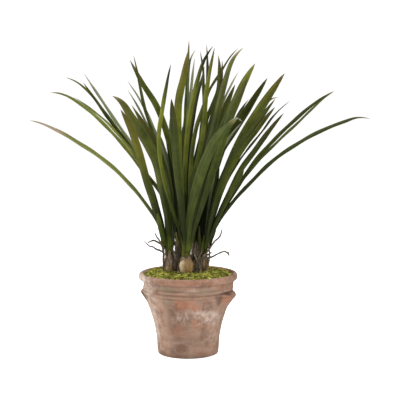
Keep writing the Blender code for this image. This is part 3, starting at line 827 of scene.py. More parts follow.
# Stains placed on the pot by kind, as place across and up, half width, half height and strength.
STAINS: dict[Stain, Table] = {
    Stain.BARE: (
        (-0.004, 0.143, 0.027, 0.015, 0.85), (0.02, 0.132, 0.016, 0.006, 0.55),
        (-0.02, 0.138, 0.012, 0.016, 0.45), (0.096, 0.15, 0.014, 0.011, 1.0),
        (0.017, 0.097, 0.008, 0.013, 0.75), (-0.024, 0.075, 0.015, 0.01, 0.85),
        (0.034, 0.078, 0.016, 0.01, 0.4), (0.03, 0.014, 0.02, 0.008, 0.45), (0.01, 0.198, 0.1, 0.009, 0.62),
        (0.085, 0.18, 0.016, 0.01, 0.55), (-0.01, 0.166, 0.014, 0.004, 0.35),
        (-0.088, 0.135, 0.01, 0.016, 0.55)),
    Stain.LIME: (
        (0.026, 0.116, 0.038, 0.014, 0.53), (0.064, 0.1, 0.02, 0.022, 0.62),
        (-0.018, 0.106, 0.018, 0.012, 0.48), (-0.09, 0.105, 0.016, 0.06, 0.8),
        (-0.078, 0.04, 0.012, 0.04, 0.7), (0.014, 0.176, 0.026, 0.006, 0.28),
        (-0.104, 0.172, 0.016, 0.014, 0.6), (0.06, 0.05, 0.02, 0.014, 0.42),
        (-0.004, 0.02, 0.018, 0.012, 0.25), (-0.112, 0.196, 0.018, 0.012, 1.0)),
    Stain.GROWTH: (
        (-0.052, 0.18, 0.026, 0.007, 0.8), (-0.052, 0.148, 0.018, 0.012, 0.6),
        (0.052, 0.172, 0.03, 0.01, 0.5), (0.01, 0.165, 0.02, 0.008, 0.35), (-0.034, 0.03, 0.02, 0.012, 0.16),
        (0.03, 0.036, 0.012, 0.006, 0.4), (-0.104, 0.15, 0.01, 0.012, 0.8)),
    # The dark ovals are partly dirt and partly painted shade: the band left of the middle, the crease beside
    # the right lug, the slot under its pad and the underside of the left lug.
    Stain.DIRT: (
        (-0.046, 0.12, 0.016, 0.08, 0.36), (0.0765, 0.145, 0.006, 0.013, 1.0),
        (0.014, 0.052, 0.04, 0.024, 0.36), (0.004, 0.04, 0.06, 0.03, 0.16), (-0.04, 0.118, 0.012, 0.03, 0.34),
        (0.0, 0.004, 0.12, 0.005, 0.4), (0.052, 0.044, 0.008, 0.008, 0.35), (-0.104, 0.15, 0.01, 0.008, 0.9),
        (0.0, 0.012, 0.08, 0.01, 0.25), (-0.032, 0.179, 0.036, 0.007, 0.42),
        (0.046, 0.179, 0.036, 0.008, 0.3), (-0.018, 0.078, 0.03, 0.012, 0.34),
        (0.096, 0.145, 0.014, 0.016, 0.28), (-0.116, 0.147, 0.006, 0.007, 1.2),
        (-0.107, 0.134, 0.006, 0.009, 1.1), (0.1, 0.1655, 0.012, 0.0022, 1.2)),
}


@dataclass
class TerracottaPot:
    """Aged clay pot with a rolled rim, two fine ridges and two lugs."""

    profile: Table = (
        (0.0705, 0.0), (0.0748, 0.0022), (0.0764, 0.009), (0.0794, 0.045), (0.0866, 0.08), (0.0958, 0.11),
        (0.1052, 0.138), (0.109, 0.1525), (0.1098, 0.1548), (0.1124, 0.156), (0.1131, 0.1585),
        (0.1124, 0.1612), (0.1104, 0.1634), (0.1108, 0.1655), (0.1131, 0.1672), (0.1136, 0.17),
        (0.112, 0.1728), (0.1123, 0.178), (0.1144, 0.1866), (0.116, 0.1884), (0.1206, 0.1894),
        (0.1231, 0.1922), (0.1237, 0.1965), (0.1231, 0.2015), (0.1206, 0.2048), (0.1165, 0.206),
        (0.1133, 0.2049), (0.112, 0.202), (0.11, 0.192), (0.1, 0.15), (0.083, 0.095), (0.065, 0.016),
        (0.06, 0.013))
    end_radius: float = 0.002
    end_points: int = 6
    per_span: int = 5
    columns: int = 336
    lug_azimuth: float = math.radians(-24.0)
    lug_half_angle: float = math.radians(20.0)
    lug_swell_power: float = 0.30
    # Where points of the plain wall go at the middle of a lug: height on the wall, then radius and height.
    lug_shift: Table = (
        (0.11, 0.0958, 0.11), (0.122, 0.1016, 0.1225), (0.13, 0.1082, 0.1312), (0.138, 0.115, 0.1398),
        (0.145, 0.1207, 0.1462), (0.15, 0.1246, 0.1506), (0.154, 0.1247, 0.1542), (0.1575, 0.1218, 0.1582),
        (0.161, 0.1158, 0.1618), (0.164, 0.1104, 0.164))
    pad_half_angle: float = math.radians(12.5)
    # Heights above a lug and the radius that the pad reaches there.
    pad_reach: Table = (
        (0.164, 0.1104), (0.1668, 0.1158), (0.17, 0.117), (0.176, 0.118), (0.188, 0.1186), (0.1894, 0.1206))
    stain_wander: float = 0.009
    stain_cell: float = 0.020
    stain_seeds: tuple[int, ...] = (41, 43, 47)
    # Depth at which the placed stains fade out, and depth at which they are full.
    front_fade: Pair = (0.075, 0.035)
    # Stains all round as kind, strength, noise where they start and are full, cell and seed of the noise.
    broad_stains: tuple[tuple[Stain, float, float, float, float, int], ...] = (
        (Stain.BARE, 0.55, 0.10, 0.75, 0.050, 61),
        (Stain.LIME, 0.75, -0.05, 0.70, 0.060, 67),
        (Stain.GROWTH, 0.55, 0.15, 0.75, 0.040, 71),
        (Stain.DIRT, 0.45, 0.05, 0.80, 0.045, 73))
    # Bare band round the back of the rim: height, half height and strength.
    rim_wear: tuple[float, float, float] = (0.198, 0.009, 0.5)
    # Heights of the dark lines painted as shade in the grooves beside the ridges and under the rim, then
    # their half width and strength.
    grooves: tuple[float, ...] = (0.1542, 0.1638, 0.1742, 0.1878)
    groove_width: float = 0.0016
    groove_shade: float = 0.55
    lug_per_span: int = 6
    dent_depth: float = 0.0005
    dent_cell: float = 0.045
    rough_depth: float = 0.00028
    rough_cell: float = 0.012
    throwing_pitch: float = 0.0011
    throwing_depth: float = 0.00011
    throwing_wander: float = 1.5
    throwing_cell: float = 0.06
    chips: int = 11
    chip_seed: int = 17
    chip_radius: float = 0.1225
    chip_levels: Pair = (0.188, 0.2055)
    chip_sizes: Pair = (0.0022, 0.0042)
    chip_depths: Pair = (0.0004, 0.0011)

    def outline(self) -> Array:
        """Radius and height along the wall, from the middle of the underside over the rim to the floor."""
        wall = smooth_path(np.array(self.profile), self.per_span)
        wall[:, 1] = np.maximum(wall[:, 1], 0.0)
        base = np.linspace(self.end_radius, self.profile[0][0], self.end_points, endpoint=False)
        floor = np.linspace(self.profile[-1][0], self.end_radius, self.end_points)[1:]
        return np.concatenate([spread_out(base, 0.0), wall, spread_out(floor, self.profile[-1][1])])

    def lug_share(self, angles: Array, half_angle: float) -> Array:
        """How far a bulge stands out at each angle: (1 - t^2) to a power, for both lugs."""
        total = np.zeros_like(angles)
        for middle in (self.lug_azimuth, self.lug_azimuth + math.pi):
            away = (angles - middle + math.pi) % TURN - math.pi
            total += np.maximum(0.0, 1.0 - (away / half_angle) ** 2) ** self.lug_swell_power
        return total

    def wall_points(self) -> tuple[Array, Array]:
        """Points of the wall as (row, column, xyz), with a mask of the rows on the outside.

        Each point is (radius cos a, radius sin a, height). Within a lug's angle the radius and height move
        toward the lug's own section by the lug's share, and above it toward the pad's reach.
        """
        radius, height = self.outline().T
        outside = (np.arange(len(height)) <= np.argmax(height)) & (height > 0.0)
        angles = circle(self.columns)
        section = smooth_path(np.array(self.lug_shift), self.lug_per_span)
        on_lug = outside & (height > section[0, 0]) & (height < section[-1, 0])
        lug_r, lug_z = (np.where(on_lug, np.interp(height, section[:, 0], section[:, k]), plain)
                        for k, plain in ((1, radius), (2, height)))
        reach = np.array(self.pad_reach)
        on_pad = outside & (height > reach[0, 0]) & (height < reach[-1, 0])
        pad_r = np.where(on_pad, np.maximum(radius, np.interp(height, reach[:, 0], reach[:, 1])), radius)
        lug = self.lug_share(angles, self.lug_half_angle)
        pad = self.lug_share(angles, self.pad_half_angle)
        r = radius[:, None] + (lug_r - radius)[:, None] * lug + (pad_r - radius)[:, None] * pad
        z = height[:, None] + (lug_z - height)[:, None] * lug
        return np.stack([r * np.cos(angles), r * np.sin(angles), z], axis=-1), outside

    def weathered(self, points: Array, outside: Array) -> Array:
        """Moves the wall outward and inward by layered noise, throwing lines and chips at the rim."""
        uneven = (self.dent_depth * lattice_noise(points, self.dent_cell, 3)
                  + self.rough_depth * layered_noise(points, self.rough_cell, 3, 5))
        wander = self.throwing_wander * lattice_noise(points, self.throwing_cell, 8)
        lines = self.throwing_depth * np.sin(points[..., 2] / self.throwing_pitch + wander)
        shift = (uneven + lines) * outside[:, None]
        rng = np.random.default_rng(self.chip_seed)
        around = rng.uniform(0.0, TURN, self.chips)
        for angle, level in zip(around, rng.uniform(*self.chip_levels, self.chips)):
            spot = (self.chip_radius * math.cos(angle), self.chip_radius * math.sin(angle), level)
            away = np.linalg.norm(points - spot, axis=-1) / rng.uniform(*self.chip_sizes)
            shift = shift - rng.uniform(*self.chip_depths) * bell(away)
        return points + unit(points * (1.0, 1.0, 0.0)) * shift[..., None]

    def stain_values(self, points: Array) -> dict[str, Array]:
        """Strength of each kind of stain: noise round the back, ovals placed on the front and sides, and
        painted shade along the grooves.

        An oval is strength * exp(-(dx / width)^2 - (dz / height)^2) at a place that noise has moved about.
        """
        drift = [layered_noise(points, self.stain_cell, 3, seed) for seed in self.stain_seeds]
        moved = points + self.stain_wander * np.stack(drift, axis=-1)
        x, z, height = moved[..., 0], moved[..., 2], points[..., 2]
        front = smooth_step(*self.front_fade, points[..., 1])
        back = 1.0 - front
        values = {kind: most * smooth_step(low, high, layered_noise(points, cell, 3, seed)) * back
                  for kind, most, low, high, cell, seed in self.broad_stains}
        level, tall, most = self.rim_wear
        values[Stain.BARE] += most * bell((height - level) / tall) * back
        for kind, ovals in STAINS.items():
            for across, up, wide, tall, most in ovals:
                oval = np.exp(-((x - across) / wide) ** 2 - ((z - up) / tall) ** 2)
                values[kind] += most * oval * front
        # Painted shade in the grooves.
        for level in self.grooves:
            values[Stain.DIRT] += self.groove_shade * bell((height - level) / self.groove_width)
        return {kind.value: np.clip(value, 0.0, 1.0) for kind, value in values.items()}

    def build(self, finish: Material) -> None:
        """Builds the pot."""
        points, outside = self.wall_points()
        points = self.weathered(points, outside)
        surface = skin(points[None], Cap.CENTRE, self.stain_values(points))
        settle(make_object("terracotta_pot", [surface], [finish]), "pot", "pot")


@dataclass(frozen=True)
class Growth:
    """One growth of the plant: its place on the soil, the radius of its stem base and its looks.

    Its looks are how pale it is, on which a painted highlight on one side depends, how much painted shade it
    has, the angle in degrees of that highlit side, how many husks it has and how low they start. Roots climb
    it about an angle in degrees, with a spread in radians.
    """

    name: str
    x: float
    y: float
    radius: float
    pale: float
    dark: float
    highlight_side: float
    husks: int
    husk_low: float
    climbed_at: float
    climbed_spread: float

    def around(self, radius: Array, angles: Array, height: Array) -> Array:
        """Points at radii and angles about the growth's upright axis, with x, y and z last."""
        return spread_out(self.x + radius * np.cos(angles), self.y + radius * np.sin(angles), height)

    def away(self, x: Array, y: Array) -> Array:
        """Distances in plan from the growth's axis."""
        return np.hypot(x - self.x, y - self.y)


GROWTHS: tuple[Growth, ...] = (
    Growth("left", -0.0475, 0.005, 0.0145, 0.03, 0.28, 215.0, 7, 0.216, 15.0, 1.0),
    Growth("front", -0.004, -0.020, 0.0175, 0.04, 0.02, 192.0, 5, 0.240, 90.0, 1.75),
    Growth("right", 0.0385, 0.005, 0.0147, 0.0, 0.12, 310.0, 5, 0.238, 190.0, 1.0),
    Growth("back_left", -0.022, 0.040, 0.0145, 0.0, 0.85, 90.0, 6, 0.206, -80.0, 1.7),
    Growth("back_right", 0.020, 0.044, 0.0150, 0.0, 0.95, 70.0, 6, 0.206, -100.0, 1.7),
)


@dataclass
class MossBed:
    """Sheet moss laid on the soil: a cushioned bed with thousands of small curled sprigs."""

    bottom: float = 0.1884
    top: float = 0.2030
    edge_radius: float = 0.1118
    mound: float = 0.0046
    relief: float = 0.0016
    patch_centre: Pair = (-0.060, 0.080)
    patch_reach: float = 0.0316
    patch_rise: float = 0.0040
    # Rates of the waves along x and y, and of the slanting waves with their share.
    wave_rates: Pair = (118.0, 131.0)
    slant_rates: Pair = (223.0, 187.0)
    slant_share: float = 0.6
    clump: float = 0.0034
    clump_cell: float = 0.0085
    clump_fold: float = 1.6
    tuft_cell: float = 0.0042
    mean_clump: float = 0.55
    # Share of a growth's radius that the moss leaves free.
    free_share: float = 0.80
    side_height: float = 0.006
    foot_share: float = 0.975
    middle_share: float = 0.02
    # Share of the clump height that lifts the bed's colour out of the painted shade of the gaps.
    bed_lift: float = 0.62
    rim_from: float = 0.86
    rim_drop: float = 0.0026
    collar_rise: float = 0.0022
    collar_reach: float = 0.0035
    rows: int = 62
    columns: int = 250
    sprigs: int = 6800
    sprig_steps: int = 3
    sprig_sides: int = 3
    sprig_seed: int = 23
    sprig_lengths: Pair = (0.0040, 0.0115)
    sprig_radii: Pair = (0.00036, 0.00074)
    sprig_thinning: float = 0.30
    sprig_rises: Pair = (0.10, 0.90)
    sprig_falls: Pair = (0.15, 0.55)
    sprig_turn: float = 0.55
    sprig_depth: float = 0.0007
    # Sprigs keep this far from the edge, and those that stand farther out than the next value lean inward.
    edge_gap: float = 0.0022
    inward_from: float = 0.100
    inward_spread: float = 1.9

    def plain_height(self, x: Array, y: Array) -> Array:
        """Height without clumps: crossed sine waves on a mound, with a taller patch at the back left."""
        waves = np.sin(self.wave_rates[0] * x + 1.1) * np.cos(self.wave_rates[1] * y - 0.4)
        waves = waves + self.slant_share * np.sin(self.slant_rates[0] * x - self.slant_rates[1] * y)
        away = np.hypot(x - self.patch_centre[0], y - self.patch_centre[1]) / self.patch_reach
        mound = self.mound * (1.0 - (x * x + y * y) / self.edge_radius ** 2)
        return self.top + self.relief * waves + self.patch_rise * bell(away) + mound

    def clumps(self, x: Array, y: Array) -> Array:
        """How high the clumps of moss stand, from 0 in the gaps to 1: folded noise of two sizes."""
        spots = spread_out(x, y, 0.0)
        coarse = 1.0 - np.abs(lattice_noise(spots, self.clump_cell, 101)) * self.clump_fold
        return np.clip(0.55 * coarse + 0.30 * layered_noise(spots, self.tuft_cell, 2, 103) + 0.20, 0.0, 1.0)

    def height(self, x: Array, y: Array) -> Array:
        """Height of the moss: plain height and clumps, lower at the rim and drawn up around each growth."""
        level = self.plain_height(x, y) + self.clump * (self.clumps(x, y) - self.mean_clump)
        level = level - self.rim_drop * smooth_step(self.rim_from, 1.0, np.hypot(x, y) / self.edge_radius)
        for growth in GROWTHS:
            away = np.maximum(growth.away(x, y) - self.free_share * growth.radius, 0.0)
            level = level + self.collar_rise * np.exp(-away / self.collar_reach)
        return level

    def bed(self) -> Surface:
        """Closed bed: rings from the middle out over the top, down the side and back under to the middle."""
        angles = circle(self.columns)
        radii = self.edge_radius * np.linspace(0.01, 1.0, self.rows)[:, None]
        x, y = radii * np.cos(angles), radii * np.sin(angles)
        top = np.stack([x, y, self.height(x, y)], axis=-1)
        side = top[-1:] * (1.0, 1.0, 0.0) + (0.0, 0.0, self.bottom + self.side_height)
        foot = top[-1:] * (self.foot_share, self.foot_share, 0.0) + (0.0, 0.0, self.bottom)
        middle = foot * (self.middle_share, self.middle_share, 1.0)
        # lift: the clump height, which sets the painted shade in the gaps.
        lift = np.concatenate([self.bed_lift * self.clumps(x, y), np.zeros((3, self.columns))])
        return skin(np.concatenate([top, side, foot, middle])[None], Cap.CENTRE, {"lift": lift})

    def tufts(self) -> Surface:
        """Curled sprigs rooted in the bed.

        A sprig sets off in a random direction at a random rise. Each of its steps adds a share of its
        length, and its rise falls and its heading turns a little from step to step.
        """
        rng = np.random.default_rng(self.sprig_seed)
        spread = np.sqrt(rng.uniform(0.0, 1.0, self.sprigs)) * (self.edge_radius - self.edge_gap)
        around = rng.uniform(0.0, TURN, self.sprigs)
        x, y = spread * np.cos(around), spread * np.sin(around)
        keep = np.all([growth.away(x, y) > self.free_share * growth.radius for growth in GROWTHS], axis=0)
        x, y, spread, around = x[keep], y[keep], spread[keep], around[keep]
        count = len(x)
        clump = self.clumps(x, y)
        inward = around + math.pi + rng.uniform(-self.inward_spread, self.inward_spread, count)
        heading = np.where(spread > self.inward_from, inward, rng.uniform(0.0, TURN, count))
        rise = rng.uniform(*self.sprig_rises, count)
        length = rng.uniform(*self.sprig_lengths, count) * (0.70 + 0.55 * clump)
        steps = np.arange(self.sprig_steps)
        heading = heading[:, None] + rng.uniform(-self.sprig_turn, self.sprig_turn, count)[:, None] * steps
        tilt = rise[:, None] - rng.uniform(*self.sprig_falls, count)[:, None] * steps
        start = np.stack([x, y, self.height(x, y) - self.sprig_depth], axis=-1)
        spines = stepped(start, heading, np.cos(tilt), np.sin(tilt), length)
        joints = self.sprig_steps + 1
        radii = rng.uniform(*self.sprig_radii, count)[:, None] * np.linspace(1.0, self.sprig_thinning, joints)
        # Sprigs on high clumps and toward their ends get more painted light; the random part is their own
        # tone.
        tone = np.clip(0.35 + 0.45 * clump + rng.uniform(-0.42, 0.48, count), 0.0, 1.2)
        lift = tone[:, None, None] * np.linspace(0.50, 1.10, joints)[:, None]
        return strands(spines, radii, self.sprig_sides, {"lift": lift})

    def build(self, finish: Material) -> None:
        """Builds the moss."""
        settle(make_object("sheet_moss", [self.bed(), self.tufts()], [finish]), "moss", "moss")


@dataclass
class StemBases:
    """Swollen stem bases, each wrapped in torn papery husks with fibres standing at its neck."""

    top: float = 0.2490
    neck_radius: float = 0.0090
    # Radius as share of the height above the soil and share of the greatest radius.
    profile: Table = (
        (0.0, 0.42), (0.16, 0.47), (0.26, 0.62), (0.36, 0.83), (0.46, 0.95), (0.58, 1.0), (0.70, 0.96),
        (0.82, 0.82), (0.92, 0.66))
    # Height and radius where the profile ends inside the leaves.
    end: Pair = (0.262, 0.0082)
    soil: float = 0.1884
    body_top: float = 0.2560
    ribs: float = 9.0
    rib_height: float = 0.016
    wrinkle: float = 0.030
    wrinkle_cell: float = 0.55
    swelling: float = 0.030
    swelling_cell: float = 1.7
    per_span: int = 8
    rows: int = 44
    columns: int = 64
    husk_rows: int = 26
    husk_columns: int = 15
    husk_thickness: float = 0.00035
    husk_tops: Pair = (0.246, 0.268)
    husk_spans: Pair = (0.45, 0.95)
    husk_narrowing: float = 0.45
    husk_gap: float = 0.0004
    husk_flare: float = 0.0008
    husk_curls: Pair = (0.0002, 0.0016)
    husk_starts: Pair = (-0.004, 0.006)
    # How far the upper and the lower corners of a husk are cut off.
    husk_cuts: Pair = (0.012, 0.006)
    husk_ripple: float = 0.0003
    husk_crumple: float = 0.0006
    # Height above which a husk no longer follows the narrowing neck.
    husk_neck: float = 0.252
    tear: float = 0.0045
    foot_tear: float = 0.0040
    fibres: int = 26
    fibre_steps: int = 8
    fibre_sides: int = 4
    fibre_feet: Pair = (0.222, 0.250)
    fibre_lengths: Pair = (0.010, 0.034)
    fibre_leans: Pair = (-0.10, 0.42)
    fibre_curls: Pair = (-0.05, 0.07)
    fibre_drift: float = 0.16
    fibre_radii: Pair = (0.00022, 0.00048)
    fibre_thinning: float = 0.35
    fibre_gap: float = 0.0004
    seed: int = 300

    def radius_at(self, growth: Growth, z: Array) -> Array:
        """Radius of a stem base at heights, by interpolation in the smoothed profile."""
        height = self.top - self.soil
        rows = [(self.soil + up * height, wide * growth.radius) for up, wide in self.profile]
        path = smooth_path(np.array([*rows, (self.top, self.neck_radius), self.end]), self.per_span)
        return np.interp(z, path[:, 0], path[:, 1])

    def body(self, growth: Growth) -> Surface:
        """Ribbed body: radius (1 + ribs + wrinkles), with ribs as a cosine of the angle and long noise."""
        z = np.linspace(self.soil + 0.001, self.body_top, self.rows)[:, None]
        angles = circle(self.columns)
        spots = spread_out(np.cos(angles), np.sin(angles), 6.0 * z + growth.x * 90.0)
        ribs = self.rib_height * np.cos(self.ribs * angles + 40.0 * growth.x)
        ribs = ribs + self.wrinkle * layered_noise(spots, self.wrinkle_cell, 3, 7)
        swell = self.swelling * lattice_noise(spots, self.swelling_cell, 9)
        r = self.radius_at(growth, z) * (1.0 + ribs * smooth_step(0.190, 0.215, z) + swell)
        # Painted highlight on the side toward the left light; painted shade at the foot, under the neck and
        # on the growths behind.
        side = np.cos(angles - math.radians(growth.highlight_side))
        pale = growth.pale + 0.90 * smooth_step(-0.15, 1.10, side) * (growth.pale > 0.0)
        dark = growth.dark + 0.8 * smooth_step(0.212, 0.200, z) + 0.7 * smooth_step(0.238, 0.254, z)
        return skin(growth.around(r, angles, z)[None], Cap.CENTRE,
                    {"pale": np.clip(pale, 0.0, 1.0), "dark": np.clip(dark, 0.0, 1.0)})

    def husk(self, growth: Growth, rng: np.random.Generator, number: int) -> Surface:
        """Papery husk: a sheet that stands off the body over a span of angles that narrows upward.

        Its upper edge is torn: a column ends lower where noise along the edge is low.
        """
        around = TURN * (number + rng.uniform(0.1, 0.9)) / growth.husks
        half = rng.uniform(*self.husk_spans)
        low = growth.husk_low + rng.uniform(*self.husk_starts)
        high = rng.uniform(*self.husk_tops)
        u = np.linspace(-1.0, 1.0, self.husk_columns)
        t = np.linspace(0.0, 1.0, self.husk_rows)[:, None]
        tear = lattice_noise(spread_out(u * 3.1 + number, 0.0, growth.x * 50.0), 0.5, 13)
        high = high - self.husk_cuts[0] * np.abs(u) ** 1.5 + self.tear * tear
        low = low + self.husk_cuts[1] * np.abs(u) + self.foot_tear * np.roll(tear, 5)
        z = low + (high - low) * t
        angles = around + half * u * (1.0 - self.husk_narrowing * t ** 2) + 0.10 * np.sin(5.0 * t + number)
        stand = self.husk_gap + self.husk_flare * t
        stand = stand + rng.uniform(*self.husk_curls) * smooth_step(0.70, 1.0, t)
        r = self.radius_at(growth, np.minimum(z, self.husk_neck)) + stand
        r = r + self.husk_ripple * np.cos(6.0 * u) * t
        r = r + self.husk_crumple * layered_noise(spread_out(u, 3.0 * t, float(number)), 0.6, 2, 19)
        # Husks take a share of their growth's painted shade.
        return sheet(growth.around(r, angles, z), self.husk_thickness, {"dark": 0.55 * growth.dark}, finish=1)

    def neck_fibres(self, growth: Growth, rng: np.random.Generator) -> Surface:
        """Thin fibres that rise from the neck, lean outward and curl: steps of a slowly turning direction."""
        count, steps = self.fibres, np.arange(self.fibre_steps)
        around = rng.uniform(0.0, TURN, count)
        base = rng.uniform(*self.fibre_feet, count)
        start = growth.around(self.radius_at(growth, base) + self.fibre_gap, around, base)
        length = rng.uniform(*self.fibre_lengths, count)
        lean = rng.uniform(*self.fibre_leans, count)[:, None]
        lean = lean + rng.uniform(*self.fibre_curls, count)[:, None] * steps
        heading = around[:, None] + rng.uniform(-self.fibre_drift, self.fibre_drift, count)[:, None] * steps
        spines = stepped(start, heading, np.sin(lean), np.cos(lean), length)
        thinning = np.linspace(1.0, self.fibre_thinning, len(steps) + 1)
        radii = rng.uniform(*self.fibre_radii, count)[:, None] * thinning
        dark = rng.uniform(0.1, 0.9, count)[:, None, None]
        return strands(spines, radii, self.fibre_sides, {"dark": dark}, finish=1)

    def build(self, body: Material, husk: Material) -> None:
        """Builds one piece for each growth."""
        for number, growth in enumerate(GROWTHS):
            rng = np.random.default_rng(self.seed + number)
            surfaces = [self.body(growth)]
            surfaces += [self.husk(growth, rng, i) for i in range(growth.husks)]
            surfaces.append(self.neck_fibres(growth, rng))
            piece = make_object("stem_base_" + growth.name, surfaces, [body, husk])
            settle(piece, "pseudobulbs", "pseudobulb_" + growth.name)


class LeafTone(Enum):
    """Looks of a leaf.

    Fresh, brown and dark shares at four stations, the dark share adding painted shade and darker tips, then
    how grey it is, how dry its tip is, and from where.
    """

    DEEP = ((0.0, 0.04, 0.05, 0.0), (0.0, 0.0, 0.08, 0.4), (0.0, 0.0, 0.08, 0.35), 0.0, 0.35, 0.975)
    MID = ((0.02, 0.2, 0.15, 0.02), (0.0, 0.0, 0.1, 0.5), (0.0, 0.0, 0.0, 0.25), 0.0, 0.35, 0.975)
    FRESH = ((0.04, 0.6, 0.72, 0.0), (0.0, 0.0, 0.0, 0.3), (0.0, 0.0, 0.05, 0.85), 0.0, 0.25, 0.98)
    BRIGHT = ((0.02, 0.3, 0.68, 0.6), (0.0, 0.0, 0.0, 0.5), (0.0, 0.05, 0.0, 0.2), 0.0, 0.35, 0.975)
    OLIVE = ((0.02, 0.22, 0.38, 0.1), (0.0, 0.0, 0.22, 0.8), (0.0, 0.0, 0.0, 0.3), 0.0, 0.4, 0.965)
    PATCHED = ((0.0, 0.28, 0.58, 0.4), (0.0, 0.0, 0.42, 0.45), (0.05, 0.0, 0.0, 0.2), 0.0, 0.4, 0.97)
    MOTTLED = ((0.02, 0.22, 0.36, 0.15), (0.0, 0.0, 0.3, 0.4), (0.0, 0.0, -0.2, 0.0), 0.1, 0.6, 0.955)
    TAN_TIPPED = ((0.02, 0.6, 0.95, 0.9), (0.0, 0.0, 0.1, 0.3), (0.0, 0.0, 0.0, 0.0), 0.42, 1.0, 0.79)
    SHEEN = ((0.0, 0.14, 0.12, 0.3), (0.0, 0.0, 0.0, 0.1), (0.0, 0.0, 0.0, 0.0), 0.08, 0.45, 0.95)
    LIT = ((0.02, 0.3, 0.6, 0.1), (0.0, 0.0, 0.0, 0.2), (-0.2, -0.3, -0.3, 0.0), 0.2, 0.6, 0.95)
    STREAKED = ((0.02, 0.1, 0.25, 0.1), (0.0, 0.0, 0.1, 0.2), (0.0, 0.1, -0.1, 0.0), 0.22, 0.75, 0.94)
    CLEAR = ((0.02, 0.25, 0.3, 0.1), (0.0, 0.0, 0.05, 0.3), (-0.2, -0.35, -0.35, -0.1), 0.0, 0.4, 0.97)
    TIP_LIT = ((0.02, 0.12, 0.25, 0.62), (0.0, 0.0, 0.05, 0.2), (0.0, 0.05, 0.0, 0.0), 0.0, 0.3, 0.98)
    GREY = ((0.0, 0.05, 0.05, 0.0), (0.0, 0.0, 0.05, 0.3), (0.0, 0.1, 0.2, 0.3), 0.1, 0.6, 0.965)
    DUSKY = ((0.0, 0.0, 0.0, 0.0), (0.0, 0.05, 0.25, 0.5), (0.1, 0.25, 0.45, 0.4), 0.06, 0.6, 0.96)
    GLOOMY = ((0.0, 0.0, 0.0, 0.0), (0.0, 0.0, 0.0, 0.2), (0.65, 0.65, 0.5, 0.4), 0.0, 0.3, 0.98)
    PALE = ((0.05, 0.15, 0.25, 0.3), (0.0, 0.0, 0.0, 0.1), (0.2, 0.05, -0.5, -0.5), 0.9, 0.7, 0.9)


@dataclass(frozen=True)
class Leaf:
    """One blade.

    Its outline is its midline as (x, z) where sight lines meet y = 0. Lean is the depth of its tip. These
    and the width are in mm, and the turn of its face is in degrees.
    """

    outline: Table
    lean: float
    width: float
    turn: float
    tone: LeafTone = LeafTone.DEEP


